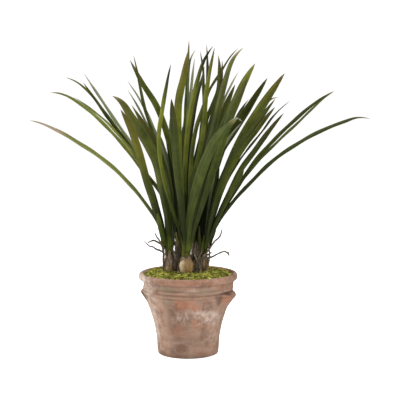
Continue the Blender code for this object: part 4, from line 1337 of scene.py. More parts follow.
LEAVES: dict[str, tuple[Leaf, ...]] = {
    "left": (
        Leaf(((-76, 330), (-123, 400), (-194, 475), (-265, 526), (-347, 572), (-393, 587)), -45, 14, 42,
             LeafTone.TAN_TIPPED),
        Leaf(((-54, 338), (-55, 371), (-61, 396), (-76, 420), (-98, 447), (-170, 538), (-250, 616),
             (-305, 650), (-340, 656)), 15, 16, 50, LeafTone.LIT),
        Leaf(((-96, 405), (-131, 501), (-200, 600), (-262, 673), (-302, 693)), 62, 12, 45, LeafTone.BRIGHT),
        Leaf(((-89, 385), (-130, 498), (-200, 597), (-260, 682)), 25, 12, 40),
        Leaf(((-82, 375), (-127, 488), (-200, 580), (-250, 622), (-282, 645)), -20, 11, 50, LeafTone.LIT),
        Leaf(((-80, 390), (-124, 502), (-190, 602), (-257, 703)), 105, 12, 45, LeafTone.PALE),
        Leaf(((-83, 366), (-101, 428), (-114, 476), (-127, 524), (-139, 558), (-153, 588), (-167, 614)), -150,
             20, 12, LeafTone.PATCHED),
        Leaf(((-51, 333), (-64, 408), (-80, 485), (-99, 525), (-120, 561), (-141, 595), (-164, 631),
             (-187, 647)), -105, 25, 15, LeafTone.MOTTLED),
        Leaf(((-46, 420), (-85, 532), (-114, 583), (-140, 625)), -40, 16, 25, LeafTone.DUSKY),
        Leaf(((-52, 430), (-86, 550), (-110, 630), (-122, 692), (-134, 748)), 12, 10, 35, LeafTone.MID),
        Leaf(((-64, 470), (-103, 580), (-150, 663)), 50, 8, 35, LeafTone.PALE),
        Leaf(((-61, 270), (-64, 292), (-71, 323), (-77, 355)), -60, 12, 10),
    ),
    "front": (
        Leaf(((-30, 335), (-63, 450), (-73, 540), (-61, 630), (-42, 726)), -150, 12, 30, LeafTone.FRESH),
        Leaf(((-14, 350), (-26, 455), (-33, 545), (-41, 641)), -235, 20, 5, LeafTone.MID),
        Leaf(((-18, 400), (-26, 560), (-23, 635), (-11, 695), (0, 757)), -95, 20, 10, LeafTone.OLIVE),
        Leaf(((-8, 450), (1, 580), (20, 672), (39, 733), (62, 770)), -70, 13, 20, LeafTone.FRESH),
        Leaf(((11, 438), (29, 513), (40, 583), (44, 647), (55, 714), (66, 767)), -125, 13, 25,
             LeafTone.BRIGHT),
        Leaf(((32, 400), (80, 545), (115, 625), (137, 677), (166, 727)), -140, 24, 8, LeafTone.TIP_LIT),
        Leaf(((42, 400), (84, 530), (117, 625), (136, 665), (148, 697)), -170, 19, 15, LeafTone.MID),
        Leaf(((5, 353), (22, 426), (44, 488), (71, 541), (100, 573), (122, 590)), -215, 24, 14,
             LeafTone.SHEEN),
        Leaf(((-5, 350), (0, 488), (8, 563), (15, 608), (25, 657), (36, 694), (41, 721)), -20, 12, 30,
             LeafTone.DUSKY),
        Leaf(((28, 430), (66, 575), (91, 680), (111, 737), (137, 766)), -80, 16, 12, LeafTone.STREAKED),
        Leaf(((26, 410), (64, 580), (78, 650), (76, 745)), -55, 16, 28),
        Leaf(((27, 480), (38, 575), (39, 637), (38, 674), (38, 706), (34, 736), (30, 759)), -48, 11, 38,
             LeafTone.GREY),
        Leaf(((1, 325), (5, 438), (8, 493), (13, 533), (18, 558), (23, 578), (30, 599), (38, 625), (45, 654)),
             -40, 13, 30, LeafTone.MID),
        Leaf(((24, 440), (60, 520), (100, 577), (121, 592), (135, 583)), -200, 11, 30, LeafTone.PALE),
        Leaf(((-3, 400), (1, 480), (5, 525), (8, 556)), 6, 20, 10, LeafTone.GLOOMY),
        Leaf(((9, 400), (22, 480), (35, 540), (41, 590)), 14, 22, 12, LeafTone.GLOOMY),
    ),
    "right": (
        Leaf(((79, 338), (115, 388), (161, 438), (212, 488), (286, 538), (334, 563), (385, 583), (420, 594),
             (454, 590)), -55, 13, 50, LeafTone.GREY),
        Leaf(((90, 363), (127, 426), (168, 488), (213, 538), (265, 588), (316, 631), (363, 660)), -5, 11, 35),
        Leaf(((95, 371), (135, 436), (178, 488), (228, 538), (281, 588), (331, 636), (362, 658)), 30, 11, 60,
             LeafTone.GREY),
        Leaf(((78, 355), (106, 413), (131, 463), (167, 513), (203, 563), (238, 605)), -120, 14, 15),
        Leaf(((71, 388), (103, 463), (131, 513), (169, 563), (216, 620)), -80, 17, 15, LeafTone.MID),
        Leaf(((70, 380), (95, 455), (135, 543), (184, 624), (239, 703)), -22, 24, 10, LeafTone.MID),
        Leaf(((76, 420), (118, 510), (163, 570), (217, 641)), -160, 14, 25),
        Leaf(((77, 396), (99, 463), (125, 513), (155, 561)), 62, 12, 40, LeafTone.GREY),
        Leaf(((73, 368), (86, 408), (113, 463), (148, 513), (187, 562), (213, 598), (253, 635)), 95, 10, 60,
             LeafTone.GREY),
        Leaf(((94, 448), (148, 560), (184, 613), (208, 640), (225, 643)), 48, 13, 35, LeafTone.GREY),
        Leaf(((58, 400), (63, 438), (71, 482), (78, 503), (86, 518), (95, 533), (106, 549), (170, 650),
             (197, 692)), 25, 20, 12),
        Leaf(((89, 373), (107, 406), (122, 430), (132, 447), (140, 463)), -30, 11, 10),
        Leaf(((60, 426), (70, 476), (83, 513), (99, 538), (113, 558), (133, 580)), -10, 8, 20, LeafTone.PALE),
        Leaf(((53, 272), (58, 290), (64, 308), (70, 330)), 10, 11, 10),
        Leaf(((58, 350), (66, 398), (71, 428), (74, 451), (78, 481)), 60, 11, 10, LeafTone.GLOOMY),
    ),
    "back_left": (
        Leaf(((-25, 440), (-49, 545), (-76, 620), (-113, 680), (-143, 736)), 115, 17, 15, LeafTone.CLEAR),
        Leaf(((-54, 480), (-100, 603), (-150, 685)), 160, 10, 40, LeafTone.PALE),
        Leaf(((-14, 470), (-4, 600), (0, 700), (3, 785)), 62, 14, 35, LeafTone.GREY),
        Leaf(((-9, 520), (0, 690), (7, 738), (20, 762)), 100, 11, 40, LeafTone.DUSKY),
        Leaf(((-2, 500), (7, 650), (17, 742)), 150, 10, 25, LeafTone.PALE),
        Leaf(((-44, 420), (-69, 520), (-92, 585)), 205, 16, 25),
        Leaf(((-28, 420), (-38, 525), (-45, 590)), 255, 18, -10, LeafTone.MID),
        Leaf(((-38, 410), (-58, 505), (-75, 560)), 315, 17, 20),
        Leaf(((-56, 415), (-92, 500), (-114, 535)), 275, 16, 35, LeafTone.MID),
        Leaf(((-28, 358), (-33, 433), (-40, 483), (-45, 511), (-50, 536), (-56, 561)), 120, 16, 0,
             LeafTone.DUSKY),
        Leaf(((-39, 287), (-41, 308), (-46, 333), (-53, 363)), 140, 13, 0, LeafTone.GLOOMY),
        Leaf(((-10, 350), (-12, 476), (-13, 533), (-14, 573)), 200, 11, 0, LeafTone.GLOOMY),
    ),
    "back_right": (
        Leaf(((29, 500), (49, 650), (83, 708), (106, 745), (125, 765)), 95, 11, 45, LeafTone.MID),
        Leaf(((46, 510), (92, 642), (125, 707)), 140, 11, 50, LeafTone.PALE),
        Leaf(((50, 480), (83, 590), (104, 645), (117, 676)), 110, 21, 20),
        Leaf(((36, 297), (39, 333), (45, 388), (51, 438)), 52, 19, 10, LeafTone.GLOOMY),
        Leaf(((36, 476), (41, 551), (47, 590), (62, 626), (73, 655), (77, 692), (75, 749)), 90, 12, 25,
             LeafTone.GREY),
        Leaf(((66, 470), (124, 598), (151, 640)), 165, 13, 30, LeafTone.GREY),
        Leaf(((32, 510), (43, 610), (49, 700), (46, 775)), 66, 11, 30, LeafTone.DUSKY),
        Leaf(((38, 510), (80, 670), (85, 735)), 130, 14, 35, LeafTone.OLIVE),
        Leaf(((26, 420), (34, 510), (40, 575)), 280, 18, 10),
        Leaf(((40, 410), (64, 500), (82, 560)), 325, 17, -15, LeafTone.MID),
        Leaf(((50, 410), (79, 490), (98, 535)), 260, 17, -25),
    ),
}


@dataclass
class LeafFans:
    """Fans of keeled strap leaves, one for each growth, rising from a short green neck."""

    seed: int = 500
    start: float = 0.2600
    neck_low: float = 0.2470
    neck_top: float = 0.2740
    neck_radius: float = 0.0094
    neck_rows: int = 22
    neck_columns: int = 48
    # Heights on the neck and its radius there.
    neck_swell: Table = (
        (0.247, 0.255, 0.262, 0.268, 0.274), (0.0084, 0.0092, 0.0090, 0.0070, 0.0030))
    neck_twist: float = 26.0
    neck_groove: float = 0.085
    neck_ripple: float = 0.03
    bracts: int = 6
    bract_rows: int = 20
    bract_columns: int = 9
    bract_thickness: float = 0.0005
    bract_tops: Pair = (0.288, 0.330)
    bract_leans: Pair = (0.001, 0.015)
    bract_half_widths: Pair = (0.0070, 0.0095)
    bract_opening: float = 2.5
    bract_sway: float = 0.0012
    papery_share: float = 0.4
    layer_step: float = 0.0015
    start_share: float = 0.10
    start_spread: float = 0.0045
    lean_power: float = 1.35
    foot_upright: float = 0.35
    foot_turn: float = 14.0
    turned_share: float = 0.6
    stations: int = 52
    columns: int = 11
    thickness: float = 0.00075
    # How closely the stations and columns crowd toward the tip and the keel.
    station_power: float = 1.18
    column_power: float = 0.85
    keel_round: float = 0.02
    wobble: float = 5.0
    wobble_rates: Pair = (0.8, 1.7)
    droop: float = 0.10
    pleat: float = 0.00012
    wave: float = 0.0006
    wave_length: float = 0.075
    tone_stations: tuple[float, ...] = (0.15, 0.45, 0.76, 1.0)
    width_at: Table = (
        (0.0, 0.12, 0.30, 0.45, 0.60, 0.80, 0.91, 0.97, 0.99, 1.0),
        (0.54, 0.58, 0.78, 0.93, 1.0, 0.93, 0.66, 0.32, 0.13, 0.03))
    fold_at: Table = ((0.0, 0.15, 0.45, 1.0), (50.0, 38.0, 27.0, 18.0))

    def midline(self, leaf: Leaf, foot: Array, shares: Array) -> Array:
        """Midline of a blade.

        A point of the outline at depth y lies where the line of sight through it meets that depth, and the
        depth grows from the foot to the tip as a power of the share of the length. The cubic sets off
        between its chord and straight up.

        Args:
            leaf: the blade.
            foot: where it starts.
            shares: shares of its length.

        Returns:
            One point for each share.
        """
        outline = np.array([(foot[0] / MM, foot[2] / MM), *leaf.outline])
        steps = np.linalg.norm(np.diff(outline, axis=0), axis=1)
        knots = np.concatenate(([0.0], np.cumsum(steps))) / steps.sum()
        depth = foot[1] + (leaf.lean * MM - foot[1]) * knots[1:] ** self.lean_power
        eye = np.array(EYE)
        seen = spread_out(outline[1:, 0] * MM, 0.0, outline[1:, 1] * MM)
        spots = np.concatenate([foot[None], eye + (seen - eye) * ((depth - eye[1]) / -eye[1])[:, None]])
        chords = np.diff(spots, axis=0) / np.diff(knots)[:, None]
        up = np.array([0.0, 0.0, np.linalg.norm(chords[0])])
        slopes = np.empty_like(spots)
        slopes[0] = (1.0 - self.foot_upright) * chords[0] + self.foot_upright * up
        slopes[1:-1] = 0.5 * (chords[:-1] + chords[1:])
        slopes[-1] = 2.0 * chords[-1] - slopes[-2]
        return cubic_through(spots, slopes, knots, shares)

    def feet(self, growth: Growth) -> list[tuple[Leaf, Array]]:
        """Leaves of a growth from front to back, each with the place of its foot in its own layer."""
        leaves = sorted(LEAVES[growth.name], key=lambda leaf: leaf.lean)
        placed = []
        for i, leaf in enumerate(leaves):
            aside = (leaf.outline[0][0] * MM - growth.x) * self.start_share
            aside = min(self.start_spread, max(-self.start_spread, aside))
            layer = growth.y + (i - (len(leaves) - 1) / 2) * self.layer_step
            placed.append((leaf, np.array([growth.x + aside, layer, self.start])))
        return placed

    def blade(self, leaf: Leaf, foot: Array, rng: np.random.Generator) -> Surface:
        """Blade around its midline.

        At a share u across, from -1 to 1, a point lies u * half width to the side and lift * (2 s - 1) up,
        where s is |u| rounded at the keel. Pleats add a small cosine of u, and the margins wave gently.
        """
        shares = 1.0 - (1.0 - np.linspace(0.0, 1.0, self.stations)) ** self.station_power
        line = self.midline(leaf, foot, shares)
        length = np.linalg.norm(np.diff(line, axis=0), axis=1).sum()
        tangents = unit(np.gradient(line, axis=0))
        across = np.cross(tangents, (0.0, 1.0, 0.0))
        middle = self.stations // 2
        across = unit(across * np.sign(across @ across[middle])[:, None])
        normals = np.cross(across, tangents)
        turns = self.foot_turn + (leaf.turn - self.foot_turn) * np.clip(shares / self.turned_share, 0.0, 1.0)
        waving = np.sin(TURN * (rng.uniform(*self.wobble_rates) * shares + rng.uniform()))
        turns = np.radians(turns + self.wobble * waving * shares)[:, None]
        wide = np.cos(turns) * across + np.sin(turns) * normals
        upper = np.cross(wide, tangents) * np.sign(normals[middle][2])
        along = shares[:, None]
        half = 0.5 * leaf.width * MM * np.interp(along, *self.width_at)
        fold = np.radians(np.interp(along, *self.fold_at))
        u = np.linspace(-1.0, 1.0, self.columns)
        u = np.sign(u) * np.abs(u) ** self.column_power
        flat, full = math.sqrt(self.keel_round), math.sqrt(1.0 + self.keel_round)
        round_keel = (np.sqrt(u * u + self.keel_round) - flat) / (full - flat)
        lift = 0.5 * half * np.tan(fold) * (2.0 * round_keel - 1.0)
        pleats = self.pleat * np.cos(3.0 * math.pi * u) * smooth_step(0.0, 0.006, half)
        phase = np.sign(u) * rng.uniform(0.6, 2.4)
        waves = self.wave * np.sin(TURN * length / self.wave_length * along + phase)
        droop = -self.droop * half * np.maximum(0.0, np.abs(u) - 0.7) * smooth_step(0.2, 0.6, along)
        rise = lift + pleats + droop + waves * np.abs(u) ** 2 * smooth_step(0.05, 0.3, half / 0.012)
        face = line[:, None] + wide[:, None] * (u * half)[..., None] + upper[:, None] * rise[..., None]
        thick = self.thickness * (0.35 + 0.65 * bell(u / 0.35))
        thick = thick * (0.45 + 0.55 * smooth_step(0.0, 0.004, half))
        values = self.looks(leaf, face, along, rng)
        places = spread_out(0.5 + 0.5 * u, along) + (float(rng.integers(0, 50)), 0.0)
        return sheet(face, thick, values, places)

    def looks(self, leaf: Leaf, face: Array, along: Array, rng: np.random.Generator) -> dict[str, Array]:
        """Values of a blade's finish at its points: its tone along the length, with noise and a random part.

        Args:
            leaf: the blade.
            face: its points.
            along: the share of its length at each row.
            rng: the fan's random numbers.

        Returns:
            The values, each from 0 to 1.
        """
        *profiles, grey, dry, dry_from = leaf.tone.value
        fresh, brown, dark = (np.interp(along, self.tone_stations, profile) for profile in profiles)
        rough = lattice_noise(face, 0.035, 211)
        # Painted shade: deeper toward the foot and on the leaves that stand farther back, lighter at the very
        # foot.
        back = float(smooth_step(40.0, 140.0, leaf.lean))
        tip = smooth_step(dry_from - 0.05, min(0.999, dry_from + 0.10), along)
        foot = smooth_step(0.62, 0.12, along)
        values = {
            "fresh": fresh + 0.12 * rough + rng.uniform(-0.06, 0.16) + 0.35 * smooth_step(0.12, 0.01, along),
            "grey": grey * (0.15 + 1.05 * along) + 0.06 * rough,
            "brown": brown + rng.uniform(-0.05, 0.10),
            "dry": dry * tip + 0.04 * rough,
            "shade": np.minimum(0.85, 0.40 * foot + rng.uniform(-0.30, 0.40) * (1.1 - 0.4 * along) + dark
                                + 0.42 * back - 0.30 * smooth_step(0.10, 0.02, along)),
        }
        return {name: np.clip(value, 0.0, 1.0) for name, value in values.items()}

    def neck(self, growth: Growth) -> Surface:
        """Green neck: rings that swell a little, with grooves between the leaf bases that clasp it."""
        z = np.linspace(self.neck_low, self.neck_top, self.neck_rows)[:, None]
        angles = circle(self.neck_columns)
        twist = self.neck_twist * (z - self.neck_low) + 50.0 * growth.x
        grooves = self.neck_groove * np.abs(np.sin(3.0 * angles + twist))
        grooves = grooves + self.neck_ripple * np.cos(7.0 * angles - twist)
        points = growth.around(np.interp(z, *self.neck_swell) * (0.95 + grooves), angles, z)
        values = {"shade": 0.45, "brown": 0.75 * smooth_step(0.262, 0.248, z)}
        places = spread_out(angles / TURN, (z - self.neck_low) / 0.4)
        return skin(points[None], Cap.CENTRE, values, places[None])

    def bract(self, growth: Growth, rng: np.random.Generator, number: int) -> Surface:
        """Short pointed sheath that clasps the neck and leans away as it rises.

        At a share t up and u across it lies on an arc about an axis that moves outward with t^2. The arc's
        radius grows with t, and its half width falls as 1 - t^1.5 to a point.
        """
        t = np.linspace(0.0, 0.985, self.bract_rows)[:, None]
        u = np.linspace(-1.0, 1.0, self.bract_columns)
        away = TURN * (number + rng.uniform(-0.25, 0.25)) / self.bracts + 9.0 * growth.x
        top = rng.uniform(*self.bract_tops)
        lean = rng.uniform(*self.bract_leans)
        bend = self.neck_radius * (1.0 + self.bract_opening * t)
        angle = u * rng.uniform(*self.bract_half_widths) * (1.0 - t ** 1.5) / bend
        out = self.neck_radius + lean * t ** 2 - bend + bend * np.cos(angle)
        side = bend * np.sin(angle) + self.bract_sway * np.sin(5.0 * t + number)
        face = spread_out(growth.x + out * math.cos(away) - side * math.sin(away),
                          growth.y + out * math.sin(away) + side * math.cos(away),
                          self.neck_low + 0.001 + (top - self.neck_low) * t)
        papery = float(rng.uniform() < self.papery_share)
        values = {
            "brown": np.clip(0.35 + 0.65 * papery - 0.3 * t, 0.0, 1.0),
            "dry": 0.22 * papery + 0.4 * smooth_step(0.80, 1.0, t),
            "grey": 0.30 * papery,
            "fresh": 0.30 * (1.0 - papery),
            "shade": 0.25 + 0.25 * papery,
        }
        return sheet(face, self.bract_thickness, values, spread_out(0.5 + 0.5 * u, 0.3 * t))

    def build(self, finish: Material) -> None:
        """Builds one piece for each growth."""
        for number, growth in enumerate(GROWTHS):
            rng = np.random.default_rng(self.seed + number)
            surfaces = [self.neck(growth)]
            surfaces += [self.bract(growth, rng, i) for i in range(self.bracts)]
            surfaces += [self.blade(leaf, foot, rng) for leaf, foot in self.feet(growth)]
            piece = make_object("leaf_fan_" + growth.name, surfaces, [finish])
            settle(piece, "leaves", "leaves_" + growth.name)


@dataclass
class WiryRoots:
    """Tangle of wiry roots between the growths, and the aerial roots that stand out on both sides.

    Lines of roots are given in mm.
    """

    seed: int = 701
    radius: float = 0.0023
    clump_offset: float = 8.0
    per_span: int = 6
    sides: int = 9
    taper_from: float = 0.60
    tip_share: float = 0.62
    kink: float = 0.0005
    kink_cell: float = 0.006
    knob: float = 0.22
    knob_cell: float = 0.0045
    flecks: tuple[float, ...] = (0.20, 1.30, 0.65)
    fine_sides: int = 5
    fine_steps: int = 26
    fine_uneven: float = 0.2
    fine_cell: float = 0.004
    followers: int = 8
    follower_radii: Pair = (0.00040, 0.00125)
    # Shares of a main line between which a following root starts, and between which it ends.
    follower_starts: Pair = (0.0, 0.35)
    follower_ends: Pair = (0.70, 1.0)
    aside: float = 0.0035
    drift: float = 0.0058
    drift_cell: float = 0.016
    curl: float = 0.0014
    curl_cell: float = 0.0055
    follower_per_span: int = 12
    climbers: int = 13
    climber_radii: Pair = (0.00040, 0.00110)
    climber_tops: Pair = (0.232, 0.272)
    climber_gaps: Pair = (0.0006, 0.0030)
    climber_spread: float = 0.0065
    climber_wander: float = 0.55
    climber_turn: float = 0.7
    # Height above which a climbing root no longer follows the narrowing neck.
    climber_neck: float = 0.2550
    moss_level: float = 0.2035
    stock_place: Pair = (-0.003, 0.014)
    stock_rows: int = 26
    stock_columns: int = 54
    stock_depth_share: float = 0.6
    stock_rough: float = 0.0011
    # Heights on the creeping stem and its half width there.
    stock_width: Table = (
        (0.1886, 0.1960, 0.2060, 0.2120, 0.2165), (0.0189, 0.0210, 0.0193, 0.0139, 0.0040))
    tangle: tuple[Line, ...] = (
        ((4, 4, 202), (14, -7, 208), (20, -15, 222), (19, -17, 240), (17, -16, 262), (20, -14, 285)),
        ((6, 3, 202), (18, -11, 206), (27, -19, 216), (29, -21, 232), (25, -19, 247), (19, -16, 257)),
        ((4, 2, 205), (16, -9, 209), (26, -19, 213), (34, -23, 224), (32, -23, 240), (25, -21, 252)),
        ((4, 3, 204), (11, -5, 216), (15, -9, 236), (11, -11, 256), (11, -14, 274), (6, -13, 292)),
        ((3, 5, 206), (13, -5, 212), (23, -15, 228), (26, -17, 246), (21, -13, 262), (25, -12, 279)),
        ((-10, 4, 202), (-20, -5, 210), (-27, -12, 224), (-28, -13, 242), (-30, -12, 262), (-31, -12, 284)),
        ((-9, 5, 204), (-17, -4, 214), (-22, -9, 230), (-21, -10, 248), (-25, -13, 268), (-21, -13, 290)),
        ((-11, 3, 203), (-23, -9, 207), (-32, -17, 213), (-34, -18, 230), (-31, -16, 246), (-27, -15, 258)),
        ((-12, 3, 206), (-21, -7, 218), (-30, -15, 236), (-34, -17, 252), (-38, -17, 268)),
        ((-2, 12, 205), (0, 18, 214), (-1, 23, 232), (1, 21, 250), (-1, 18, 268)),
        ((-10, 8, 204), (-19, 11, 212), (-31, 15, 226), (-36, 18, 241), (-33, 16, 256)),
        ((6, 9, 205), (17, 12, 214), (27, 15, 228), (25, 15, 246), (22, 13, 258)),
        ((9, -10, 203), (15, -24, 207), (22, -28, 219), (21, -27, 233), (28, -25, 247), (35, -22, 262)),
        ((3, -8, 203), (11, -23, 206), (17, -28, 213), (27, -29, 222), (33, -27, 237), (37, -24, 254)),
        ((7, -4, 204), (21, -20, 205), (31, -27, 211), (29, -28, 226), (20, -26, 243), (14, -22, 258)),
    )
    right_roots: tuple[Line, ...] = (
        ((5, 4, 203), (19, -12, 208), (31, -22, 224), (38, -22, 240), (52, -16, 243), (62, -12, 246),
         (78, -9, 254), (92, -7, 258), (99, -6, 255), (105, -6, 259)),
        ((97, -6, 256), (101, -5.5, 252), (103, -5, 246)),
        ((20, -15, 222), (30, -23, 236), (40, -23, 250), (50, -22, 262), (57, -22, 272), (66, -22, 285),
         (81, -21, 300), (85, -20, 320)),
        ((30, -23, 236), (42, -22, 248), (53, -20, 254), (60, -19, 259)),
        ((38, -22, 203), (46, -23, 216), (51, -22, 232), (54, -21, 248), (53, -19, 266), (50, -17, 284)),
    )
    left_roots: tuple[Line, ...] = (
        ((-61.5, -4, 189), (-61.5, -4, 206), (-62, -4, 222), (-62, -4, 240), (-61, -5, 254), (-67, -5, 260),
         (-80, -5, 265), (-88, -6, 271), (-96, -7, 273), (-111, -8, 288)),
        ((-62, -4, 240), (-61.5, -6, 262), (-62, -5, 272), (-68, -3, 277), (-86, 0, 286), (-94, 0, 284),
         (-101, -2, 280)),
        ((-62, -4, 222), (-61, -7, 246), (-62.5, -9, 262), (-66, -11, 277), (-72, -12, 289), (-78, -13, 297),
         (-83, -14, 309)),
    )

    def line(self, points: Line, offset: float, per_span: int) -> Array:
        """Smooth line in metres through points in mm that are moved back by an offset."""
        return smooth_path(np.array(points) + (0.0, offset, 0.0), per_span) * MM

    def knobbly(self, points: Line, offset: float, seed: int) -> Surface:
        """One main root: a smooth line whose radius swells and pinches with noise and thins to its tip."""
        line = self.line(points, offset, self.per_span)
        line = line + self.kink * drift_noise(line, self.kink_cell, seed)
        share = np.linspace(0.0, 1.0, len(line))
        past = np.maximum(0.0, (share - self.taper_from) / (1.0 - self.taper_from))
        taper = 1.0 - (1.0 - self.tip_share) * past
        taper = taper * (1.0 - 0.7 * smooth_step(0.92, 1.0, share))
        radii = self.radius * taper * (1.0 + self.knob * lattice_noise(line, self.knob_cell, seed + 5))
        return strands(line[None], radii[None], self.sides, {"fleck": self.flecks[seed % 3]})

    def fine(self, spines: Array, thick: Array, first: float, last: float, seed: int,
             rng: np.random.Generator) -> Surface:
        """Fine roots of uneven thickness, each with its own share of flecks.

        Args:
            spines: their lines.
            thick: radius of each.
            first: share of the radius at the first end.
            last: share of the radius at the last end.
            seed: picks the noise that the thickness follows.
            rng: the roots' random numbers.

        Returns:
            One surface that holds them all.
        """
        uneven = 1.0 + self.fine_uneven * lattice_noise(spines, self.fine_cell, seed)
        radii = thick[:, None] * np.linspace(first, last, self.fine_steps) * uneven
        fleck = rng.uniform(0.0, 1.0, len(spines))[:, None, None]
        return strands(spines, radii, self.fine_sides, {"fleck": fleck})

    def wisps(self, rng: np.random.Generator) -> Surface:
        """Fine roots that follow the main ones: parts of a main line moved aside by slow smooth noise."""
        lines = []
        for number, points in enumerate(self.tangle):
            whole = self.line(points, self.clump_offset, self.follower_per_span)
            for copy in range(self.followers):
                first, last = rng.uniform(*self.follower_starts), rng.uniform(*self.follower_ends)
                at = np.linspace(first, last, self.fine_steps) * (len(whole) - 1)
                line = np.stack([np.interp(at, np.arange(len(whole)), row) for row in whole.T], axis=-1)
                seed = 1000 + 17 * number + 3 * copy
                drift = drift_noise(line + copy * 0.031, self.drift_cell, seed)
                curl = drift_noise(line + copy * 0.017, self.curl_cell, seed + 7)
                side = rng.uniform(-self.aside, self.aside, 3) * (1.0, 1.0, 0.4)
                lines.append(line + side + self.drift * drift + self.curl * curl)
        return self.fine(np.array(lines), rng.uniform(*self.follower_radii, len(lines)), 1.0, 0.45, 31, rng)

    def climbing(self, rng: np.random.Generator, bases: StemBases) -> Surface:
        """Fine roots that run down the stem bases into the moss, hugging them as they wander about."""
        lines = []
        t = np.linspace(0.0, 1.0, self.fine_steps)
        for growth, number in itertools.product(GROWTHS, range(self.climbers)):
            spread = growth.climbed_spread
            around = math.radians(growth.climbed_at) + rng.uniform(-spread, spread)
            high = rng.uniform(*self.climber_tops)
            z = high + (self.moss_level - high) * t
            wander = self.climber_wander * lattice_noise(spread_out(z, around, float(number)), 0.012, 77)
            angle = around + wander + rng.uniform(-self.climber_turn, self.climber_turn) * t
            out = bases.radius_at(growth, np.minimum(z, self.climber_neck))
            out = out + rng.uniform(*self.climber_gaps)
            out = out + self.climber_spread * smooth_step(0.55, 1.0, t) * rng.uniform(0.1, 1.0)
            lines.append(growth.around(out, angle, z))
        return self.fine(np.array(lines), rng.uniform(*self.climber_radii, len(lines)), 0.7, 1.0, 37, rng)

    def stock(self) -> Surface:
        """Creeping stem that joins the growths: a low oval heap with scaly rings round it."""
        heights = self.stock_width[0]
        z = np.linspace(heights[0], heights[-1], self.stock_rows)[:, None]
        angles = circle(self.stock_columns)
        width = np.interp(z, *self.stock_width)
        x, y = self.stock_place
        deep = self.stock_depth_share * width
        points = spread_out(x + width * np.cos(angles), y + deep * np.sin(angles), z)
        rough = self.stock_rough * layered_noise(points, 0.006, 3, 91)
        points = points + unit(points - (x, y, 0.2)) * rough[..., None]
        return skin(points[None], Cap.CENTRE, {"fleck": 0.3})

    def build(self, finish: Material, bases: StemBases) -> None:
        """Builds the tangle with the roots to the right, and the roots to the left."""
        rng = np.random.default_rng(self.seed)
        main, aside, left = ([self.knobbly(points, offset, seed + step * i) for i, points in enumerate(lines)]
                             for lines, offset, seed, step in ((self.tangle, self.clump_offset, 800, 10),
                                                               (self.right_roots, self.clump_offset, 950, 9),
                                                               (self.left_roots, 0.0, 990, 9)))
        surfaces = [self.stock(), *main, *aside, self.wisps(rng), self.climbing(rng, bases)]
        settle(make_object("root_tangle", surfaces, [finish]), "roots", "rootstock")
        settle(make_object("side_roots_left", left, [finish]), "roots", "aerial_roots_left")


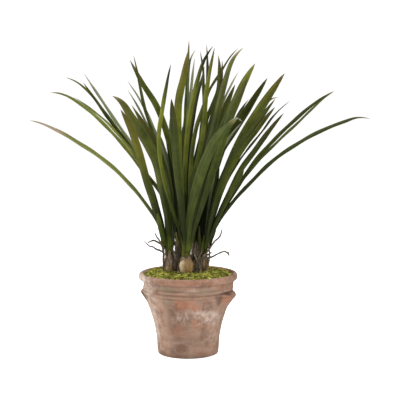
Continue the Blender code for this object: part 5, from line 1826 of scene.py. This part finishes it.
@dataclass
class Studio:
    """Camera at the picture's viewpoint, plain pale floor and soft light."""

    drop: float = math.asin(0.10626)
    lens: float = 115.2
    sensor: float = 36.0
    farthest: float = 60.0
    floor_half: float = 14.0
    floor_grey: Colour = (0.90, 0.90, 0.90)
    floor_roughness: float = 0.95
    white: Colour = (1.0, 1.0, 1.0)
    # Strengths of the floor's glow and of the surroundings, for other rays and for the camera's.
    floor_glow: Pair = (0.0, 0.86)
    room_glow: Pair = (0.19, 1.05)
    lit_point: Place = (0.0, 0.0, 0.40)
    # Lights as name, place, side in metres and power in watts.
    lights: tuple[tuple[str, Place, float, float], ...] = (
        ("side_left", (-2.4, 0.1, 1.1), 1.2, 54.0),
        ("front_right", (1.8, -2.2, 1.3), 1.6, 48.0),
        ("top", (0.1, 0.0, 2.4), 1.4, 42.0))

    def camera(self) -> None:
        """Adds the camera, level and looking along +Y, tipped down a little."""
        data = bpy.data.cameras.new("camera")
        data.lens = self.lens
        data.sensor_width = self.sensor
        data.clip_end = self.farthest
        camera = bpy.data.objects.new("camera", data)
        camera.location = EYE
        camera.rotation_euler = (math.pi / 2.0 - self.drop, 0.0, 0.0)
        bpy.context.scene.collection.objects.link(camera)
        bpy.context.scene.camera = camera

    def seen_glow(self, wiring: Wiring, glow: Pair) -> Socket:
        """Strength that differs between other rays and the camera's."""
        seen = wiring.node("ShaderNodeLightPath").outputs["Is Camera Ray"]
        return wiring.range(seen, 0.0, 1.0, *glow)

    def floor(self) -> None:
        """Adds the floor: a plain sheet with a matt, nearly white finish."""
        half = self.floor_half
        mesh = bpy.data.meshes.new("floor")
        mesh.from_pydata([(-half, -half, 0.0), (half, -half, 0.0), (half, half, 0.0), (-half, half, 0.0)],
                         [], [(0, 1, 2, 3)])
        material = bpy.data.materials.new("floor_white")
        material.use_nodes = True
        wiring = Wiring(material.node_tree)
        shader = material.node_tree.nodes["Principled BSDF"]
        for name, value in (("Base Color", self.floor_grey), ("Roughness", self.floor_roughness),
                            ("Emission Color", self.white),
                            ("Emission Strength", self.seen_glow(wiring, self.floor_glow))):
            wiring.feed(shader.inputs[name], value)
        mesh.materials.append(material)
        floor = bpy.data.objects.new("floor", mesh)
        bpy.context.scene.collection.objects.link(floor)

    def area_light(self, name: str, place: Place, size: float, power: float) -> None:
        """Adds a square soft light that faces the leaves.

        Args:
            name: the light's name.
            place: where it stands.
            size: its side in metres.
            power: its power in watts.
        """
        data = bpy.data.lights.new(name, "AREA")
        data.shape = "SQUARE"
        data.size = size
        data.energy = power
        lamp = bpy.data.objects.new(name, data)
        lamp.location = place
        toward = Vector(self.lit_point) - Vector(place)
        lamp.rotation_euler = toward.to_track_quat("-Z", "Y").to_euler()
        bpy.context.scene.collection.objects.link(lamp)

    def surroundings(self) -> None:
        """Sets white surroundings, dimmer for the light they cast than for what the camera sees."""
        world = bpy.data.worlds.new("white_room")
        world.use_nodes = True
        wiring = Wiring(world.node_tree)
        back = world.node_tree.nodes["Background"]
        wiring.feed(back.inputs["Color"], self.white)
        wiring.feed(back.inputs["Strength"], self.seen_glow(wiring, self.room_glow))
        bpy.context.scene.world = world

    def build(self) -> None:
        """Builds the whole studio."""
        self.camera()
        self.floor()
        self.surroundings()
        for light in self.lights:
            self.area_light(*light)
        bpy.context.scene.view_settings.view_transform = "Standard"
        LOG.info("studio is ready")


def main() -> None:
    """Builds every piece in order."""
    logging.basicConfig(level=logging.INFO, format="%(message)s", force=True)
    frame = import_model()
    effects = SharedEffects()
    TerracottaPot().build(TerracottaFinish().material(effects))
    MossBed().build(MossFinish().material(effects))
    bases = StemBases()
    bases.build(BulbFinish().material(effects), HuskFinish().material(effects))
    LeafFans().build(LeafFinish().material(effects))
    WiryRoots().build(RootFinish().material(effects), bases)
    soil = frame["nodes"]["potting_soil"]
    soil.data.materials.clear()
    soil.data.materials.append(SoilFinish().material(effects))
    Studio().build()
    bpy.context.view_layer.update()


if __name__ == "__main__":
    main()
